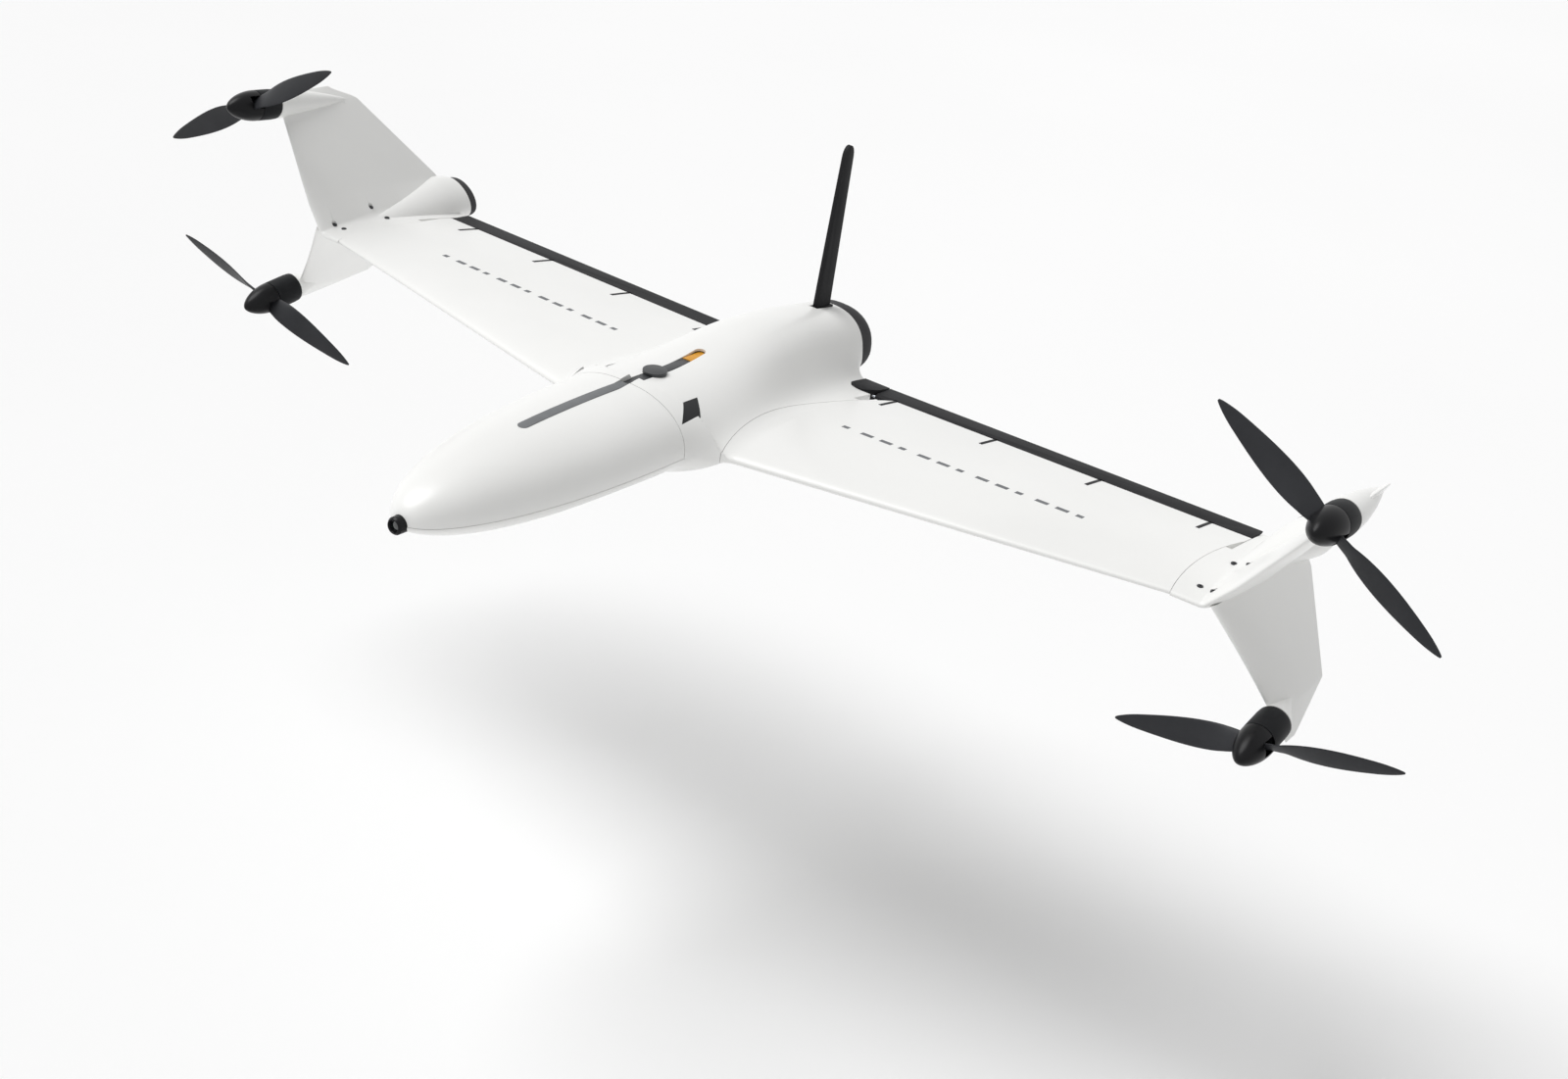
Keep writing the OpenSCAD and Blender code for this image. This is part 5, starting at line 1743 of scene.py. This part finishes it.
@dataclass
class Propeller:
    """Two-bladed propellers with finely stepped blades, at the rest angles of the part's source."""

    radius: float = 101.2
    root: float = 3.5
    chord_root: float = 10.0
    chord_swell: float = 10.5
    chord_fall: float = 4.5
    round_from: float = 0.8
    thick_root: float = 3.0
    thick_tip: float = 1.0
    pitch: float = 114.0
    steepest: float = 42.0
    rest_upper: float = 30.0
    rest_lower: float = 16.0
    hub_z: float = 4.8
    hub_half: float = 3.4
    hub_r: float = 5.0
    shaft_r: float = 1.5

    def ring(self, t: float, n: int = 28) -> Array:
        """One blade section; t runs from the root to the tip."""
        r = mix(self.root, self.radius, t)
        chord = self.chord_root + self.chord_swell * math.sin(math.pi * t ** 0.75) - self.chord_fall * t
        if t > self.round_from:
            chord *= math.sqrt(max(0.02, 1 - ((t - self.round_from) / 0.205) ** 2.6))
        b = min(math.radians(self.steepest), math.atan(self.pitch / (2 * math.pi * r)))
        thick = mix(self.thick_root, self.thick_tip, math.sqrt(t))
        a = 2 * np.pi * np.arange(n) / n
        p, q = chord / 2 * np.cos(a), thick / 2 * np.sin(a)
        return np.stack([np.full(n, r), p * math.cos(b) - q * math.sin(b),
                         p * math.sin(b) + q * math.cos(b)], axis=1)

    def make(self, up: bool) -> bpy.types.Object:
        """The right propeller of the upper or the lower drive.

        Args:
            up: whether it is the upper drive.

        Returns:
            The propeller.
        """
        rest = turn("Z", -self.rest_upper if up else self.rest_lower)
        frame = FINS.hub(up) @ rest @ shift(0, 0, self.hub_z)
        ts = np.r_[np.linspace(0, 0.8, 36)[:-1], 0.8 + 0.2 * np.sin(np.linspace(0, math.pi / 2, 24))]
        rings = np.stack([self.ring(float(t)) for t in ts])
        hub = spun("prop", [(0.0, -self.hub_half), (self.hub_r, -self.hub_half), (self.hub_r, self.hub_half),
                            (0.0, self.hub_half)], frame, 64)
        for half in (0, 180):
            blade = np.concatenate([rings, np.ones(rings.shape[:2] + (1,))], axis=2) @ (frame @ turn("Z", half)).T
            carve(hub, Cut.JOIN, loft("blade", blade[..., :3]))
        carve(hub, Cut.TAKE, bar(circle(self.shaft_r, 32), (-20, 20), frame))
        return hub

    def build(self, cad: "Frame") -> None:
        """Builds and seats all four.

        Args:
            cad: the CAD nodes that the pieces stand for.
        """
        for up, level in ((True, "upper"), (False, "lower")):
            right = self.make(up)
            right.name = f"propeller_{level}_right"
            left = mirrored(right, f"propeller_{level}_left")
            for piece, node in ((right, f"prop_{level}_right"), (left, f"prop_{level}_left")):
                shade(piece, None, 50)
                finish_piece(piece, BLADE, cad.body(node), node)


@dataclass
class WingMarks:
    """A plain row of grey dashes printed on each wing where the photo's wings are lettered."""

    dashes: int = 13
    fill: float = 0.62
    width: float = 4.6
    ink: float = 0.05
    short: float = 0.55

    def build(self, camera: Camera, panels: list[bpy.types.Object], body: str) -> None:
        """Prints both rows.

        Args:
            camera: the photograph's camera.
            panels: the right and the left wing panel.
            body: the body they ride on.
        """
        for panel, first, last, name in ((panels[0], "marks_right_in", "marks_right_out", "wing_marks_right"),
                                         (panels[1], "marks_left_out", "marks_left_in", "wing_marks_left")):
            tree = tree_of(panel)
            a, b = (PLACE.flight(np.array(placed(camera, tree, spot)[0])) for spot in (first, last))
            pitch = (b - a) / self.dashes
            points, faces = [], []
            for k in range(self.dashes):
                length = self.fill * (1 if k % 3 else self.short)
                faces += self.dash(tree, a + k * pitch, a + (k + length) * pitch, points)
            row = outward(mesh_object(name, np.array(points), faces))
            shade(row, None, 40)
            finish_piece(row, INK, body)

    def dash(self, tree: BVHTree, a: Array, b: Array, points: list) -> list[tuple[int, ...]]:
        """One closed film lying on the wing between two points.

        Args:
            tree: the wing panel's faces.
            a: one end in flight millimetres.
            b: the other end.
            points: takes the new points.

        Returns:
            The film's faces.
        """
        along, across, base = 7, 3, len(points)
        for lift in (self.ink, -self.ink):
            for i in range(along):
                for j in range(across):
                    x, y = (a + (b - a) * i / (along - 1))[:2] + (0.0, self.width * (j / (across - 1) - 0.5))
                    hit = tree.ray_cast(Vector(PLACE.row(np.array([x, y, 60.0]))), Vector((0, 0, -1)))[0]
                    points.append((x, y, float(PLACE.flight(np.array(hit))[2]) + lift))
        n = along * across

        def at(i: int, j: int, layer: int) -> int:
            """Index of a point of the upper (0) or lower (1) layer."""
            return base + layer * n + i * across + j
        faces = []
        for i in range(along - 1):
            for j in range(across - 1):
                faces.append((at(i, j, 0), at(i + 1, j, 0), at(i + 1, j + 1, 0), at(i, j + 1, 0)))
                faces.append((at(i, j, 1), at(i, j + 1, 1), at(i + 1, j + 1, 1), at(i + 1, j, 1)))
        rim = ([(i, 0) for i in range(along)] + [(along - 1, j) for j in range(1, across)]
               + [(i, across - 1) for i in range(along - 2, -1, -1)]
               + [(0, j) for j in range(across - 2, 0, -1)])
        for (i, j), (k, l) in zip(rim, rim[1:] + rim[:1]):
            faces.append((at(i, j, 0), at(k, l, 0), at(k, l, 1), at(i, j, 1)))
        return faces


# ---------------------------------------------------------------- points


def tree_of(obj: bpy.types.Object) -> BVHTree:
    """The faces of an unmoved piece, for casting rays.

    Args:
        obj: the piece.

    Returns:
        The tree.
    """
    bm = bmesh.new()
    bm.from_mesh(obj.data)
    tree = BVHTree.FromBMesh(bm)
    bm.free()
    return tree


def placed(camera: Camera, tree: BVHTree, name: str) -> tuple[Vector, Vector]:
    """Where the ray through a named image point meets a carrier; a miss takes the nearest place.

    Args:
        camera: the photograph's camera.
        tree: the carrier's faces.
        name: a key of POINTS.

    Returns:
        The place and the surface normal there.
    """
    start, way = camera.ray(*POINTS[name])
    hit, normal, _, _ = tree.ray_cast(start, way)
    if hit is None:
        hit, normal, _, _ = tree.find_nearest(start + way * 1.5)
    return hit, normal


class PointReport:
    """Compares the finished model with the named image points."""

    def __init__(self, camera: Camera, nodes: dict[str, bpy.types.Object]) -> None:
        """Keeps the camera and the CAD nodes, which mark where features are."""
        self.camera = camera
        self.nodes = nodes

    def verts(self, node: str) -> list[Vector]:
        """World places of a node's vertices."""
        obj = self.nodes[node]
        return [obj.matrix_world @ v.co for v in obj.data.vertices]

    def middle(self, node: str, keep: Callable[[Vector], bool] = lambda v: True) -> Vector:
        """Middle of the box round the vertices that are kept."""
        co = np.array([tuple(v) for v in self.verts(node) if keep(v)])
        return Vector((co.min(axis=0) + co.max(axis=0)) / 2)

    def features(self) -> dict[str, tuple[float, float]]:
        """Where each named feature shows."""
        tip = {"spinner_" + side: min(self.verts("spinner_" + side), key=lambda v: v.y)
               for side in ("upper_left", "upper_right", "lower_left", "lower_right")}
        spots = dict(tip)
        spots["nose_sensor"] = self.middle("sensor_lens")
        spots["antenna_top"] = max(self.verts("antenna_blade"), key=lambda v: v.z)
        spots["latch_tab"] = self.middle("lever_tab")
        spots["grip_front"] = min(self.verts("grip_strip"), key=lambda v: v.y)
        spots["side_window"] = self.middle("side_windows", lambda v: v.x > 0)
        spots["strip_outer_left"] = min(self.verts("elevon_left"), key=lambda v: v.x)
        spots["strip_outer_right"] = max(self.verts("elevon_right"), key=lambda v: v.x)
        spots["root_block"] = self.middle("root_blocks", lambda v: v.x > 0)
        return {name: self.camera.project(spot) for name, spot in spots.items()}

    def edges(self) -> dict[str, tuple[float, float]]:
        """The outermost finished vertices that show on each side."""
        shown = []
        for obj in bpy.context.scene.objects:
            if obj.type == "MESH" and obj.name != "floor" and not obj.hide_render:
                co = np.empty(len(obj.data.vertices) * 3)
                obj.data.vertices.foreach_get("co", co)
                world = np.c_[co.reshape(-1, 3), np.ones(len(co) // 3)] @ np.array(obj.matrix_world).T
                shown.append(world[:, :3])
        co = np.concatenate(shown)
        d = (co - np.array(self.camera.location)) @ np.array(self.camera.axes())
        k = max(FRAME_W, FRAME_H) * self.camera.lens / self.camera.sensor / -d[:, 2]
        x, y = FRAME_W / 2 + d[:, 0] * k, FRAME_H / 2 - d[:, 1] * k
        picks = {"left_edge": int(x.argmin()), "right_edge": int(x.argmax()),
                 "top_edge": int(y.argmin()), "bottom_edge": int(y.argmax())}
        return {name: (float(x[i]), float(y[i])) for name, i in picks.items()}

    def write(self, path: str) -> None:
        """Writes how far each thing shows from its point, in the points' pixels.

        Args:
            path: the file's full path.
        """
        found = {**self.features(), **self.edges()}
        off = {name: [round(found[name][0] - x, 1), round(found[name][1] - y, 1)]
               for name, (x, y) in POINTS.items() if name in found}
        with open(path, "w") as out:
            json.dump(off, out, indent=1)
        log.info("points: %s", off)


# ---------------------------------------------------------------- studio


@dataclass(frozen=True)
class Studio:
    """Pale floor, white surroundings and one broad soft sun."""

    floor_z: float = -0.30
    floor_size: float = 60.0
    floor_colour: str = "#fdfdfd"
    floor_second: str = "#f8f8f8"
    ambient: float = 0.40
    sun: float = 2.15
    sun_angle: float = 40.0
    toward_light: tuple[float, float, float] = (-0.45, -0.25, 0.86)

    def build(self) -> None:
        """Makes the floor, the world and the sun."""
        half = self.floor_size / 2
        data = bpy.data.meshes.new("floor")
        data.from_pydata([(-half, -half, self.floor_z), (half, -half, self.floor_z),
                          (half, half, self.floor_z), (-half, half, self.floor_z)], [], [(0, 1, 2, 3)])
        floor = bpy.data.objects.new("floor", data)
        bpy.context.scene.collection.objects.link(floor)
        paper = Finish("pale_floor_paper", "", self.floor_colour, self.floor_second, 0.9, 40.0, 0.01, 4000.0)
        data.materials.append(paper.build())
        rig.stage(floor)
        self.world()
        lamp = bpy.data.lights.new("soft_sun", "SUN")
        lamp.energy, lamp.angle = self.sun, math.radians(self.sun_angle)
        sun = bpy.data.objects.new("soft_sun", lamp)
        sun.rotation_mode = "QUATERNION"
        sun.rotation_quaternion = Vector(self.toward_light).to_track_quat("Z", "Y")
        bpy.context.scene.collection.objects.link(sun)

    def world(self) -> None:
        """Even grey light, seen as white by the camera and in reflections."""
        world = bpy.data.worlds.new("studio")
        bpy.context.scene.world = world
        world.use_nodes = True
        tree = world.node_tree
        tree.nodes.clear()
        path = add(tree, "ShaderNodeLightPath")
        first = add(tree, "ShaderNodeMath", operation="MAXIMUM",
                    links={0: path.outputs["Is Camera Ray"], 1: path.outputs["Is Glossy Ray"]})
        seen = add(tree, "ShaderNodeMath", operation="MAXIMUM",
                   links={0: first.outputs[0], 1: path.outputs["Is Transmission Ray"]})
        light = add(tree, "ShaderNodeBackground", Strength=self.ambient)
        white = add(tree, "ShaderNodeBackground", Strength=1.0)
        light.inputs[0].default_value = (1.0, 1.0, 1.0, 1.0)
        white.inputs[0].default_value = (1.0, 1.0, 1.0, 1.0)
        both = add(tree, "ShaderNodeMixShader", {0: seen.outputs[0], 1: light.outputs[0], 2: white.outputs[0]})
        add(tree, "ShaderNodeOutputWorld", {"Surface": both.outputs[0]})


# ---------------------------------------------------------------- the whole


def main() -> None:
    """Builds the camera, the studio and every piece, and writes the size and point files."""
    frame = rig.load()
    cad_box = [list(map(float, corner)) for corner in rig.bounds()]
    bpy.context.scene.view_settings.view_transform = "Standard"
    camera = Camera()
    camera.build()
    Studio().build()
    cad = Frame(frame["nodes"])
    cad.dress()
    BodyShell().build()
    panels = WingPanel().build(cad)
    Winglet().build(cad)
    report = PointReport(camera, cad.nodes)
    WingMarks().build(camera, panels, cad.body("wing_right"))
    SmallParts().build(cad)
    Propeller().build(cad)
    report.write("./points.json")
    new_box = [list(map(float, corner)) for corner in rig.bounds()]
    with open("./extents.json", "w") as out:
        json.dump({"cad": cad_box, "visual": new_box}, out)


if __name__ == "__main__":
    main()
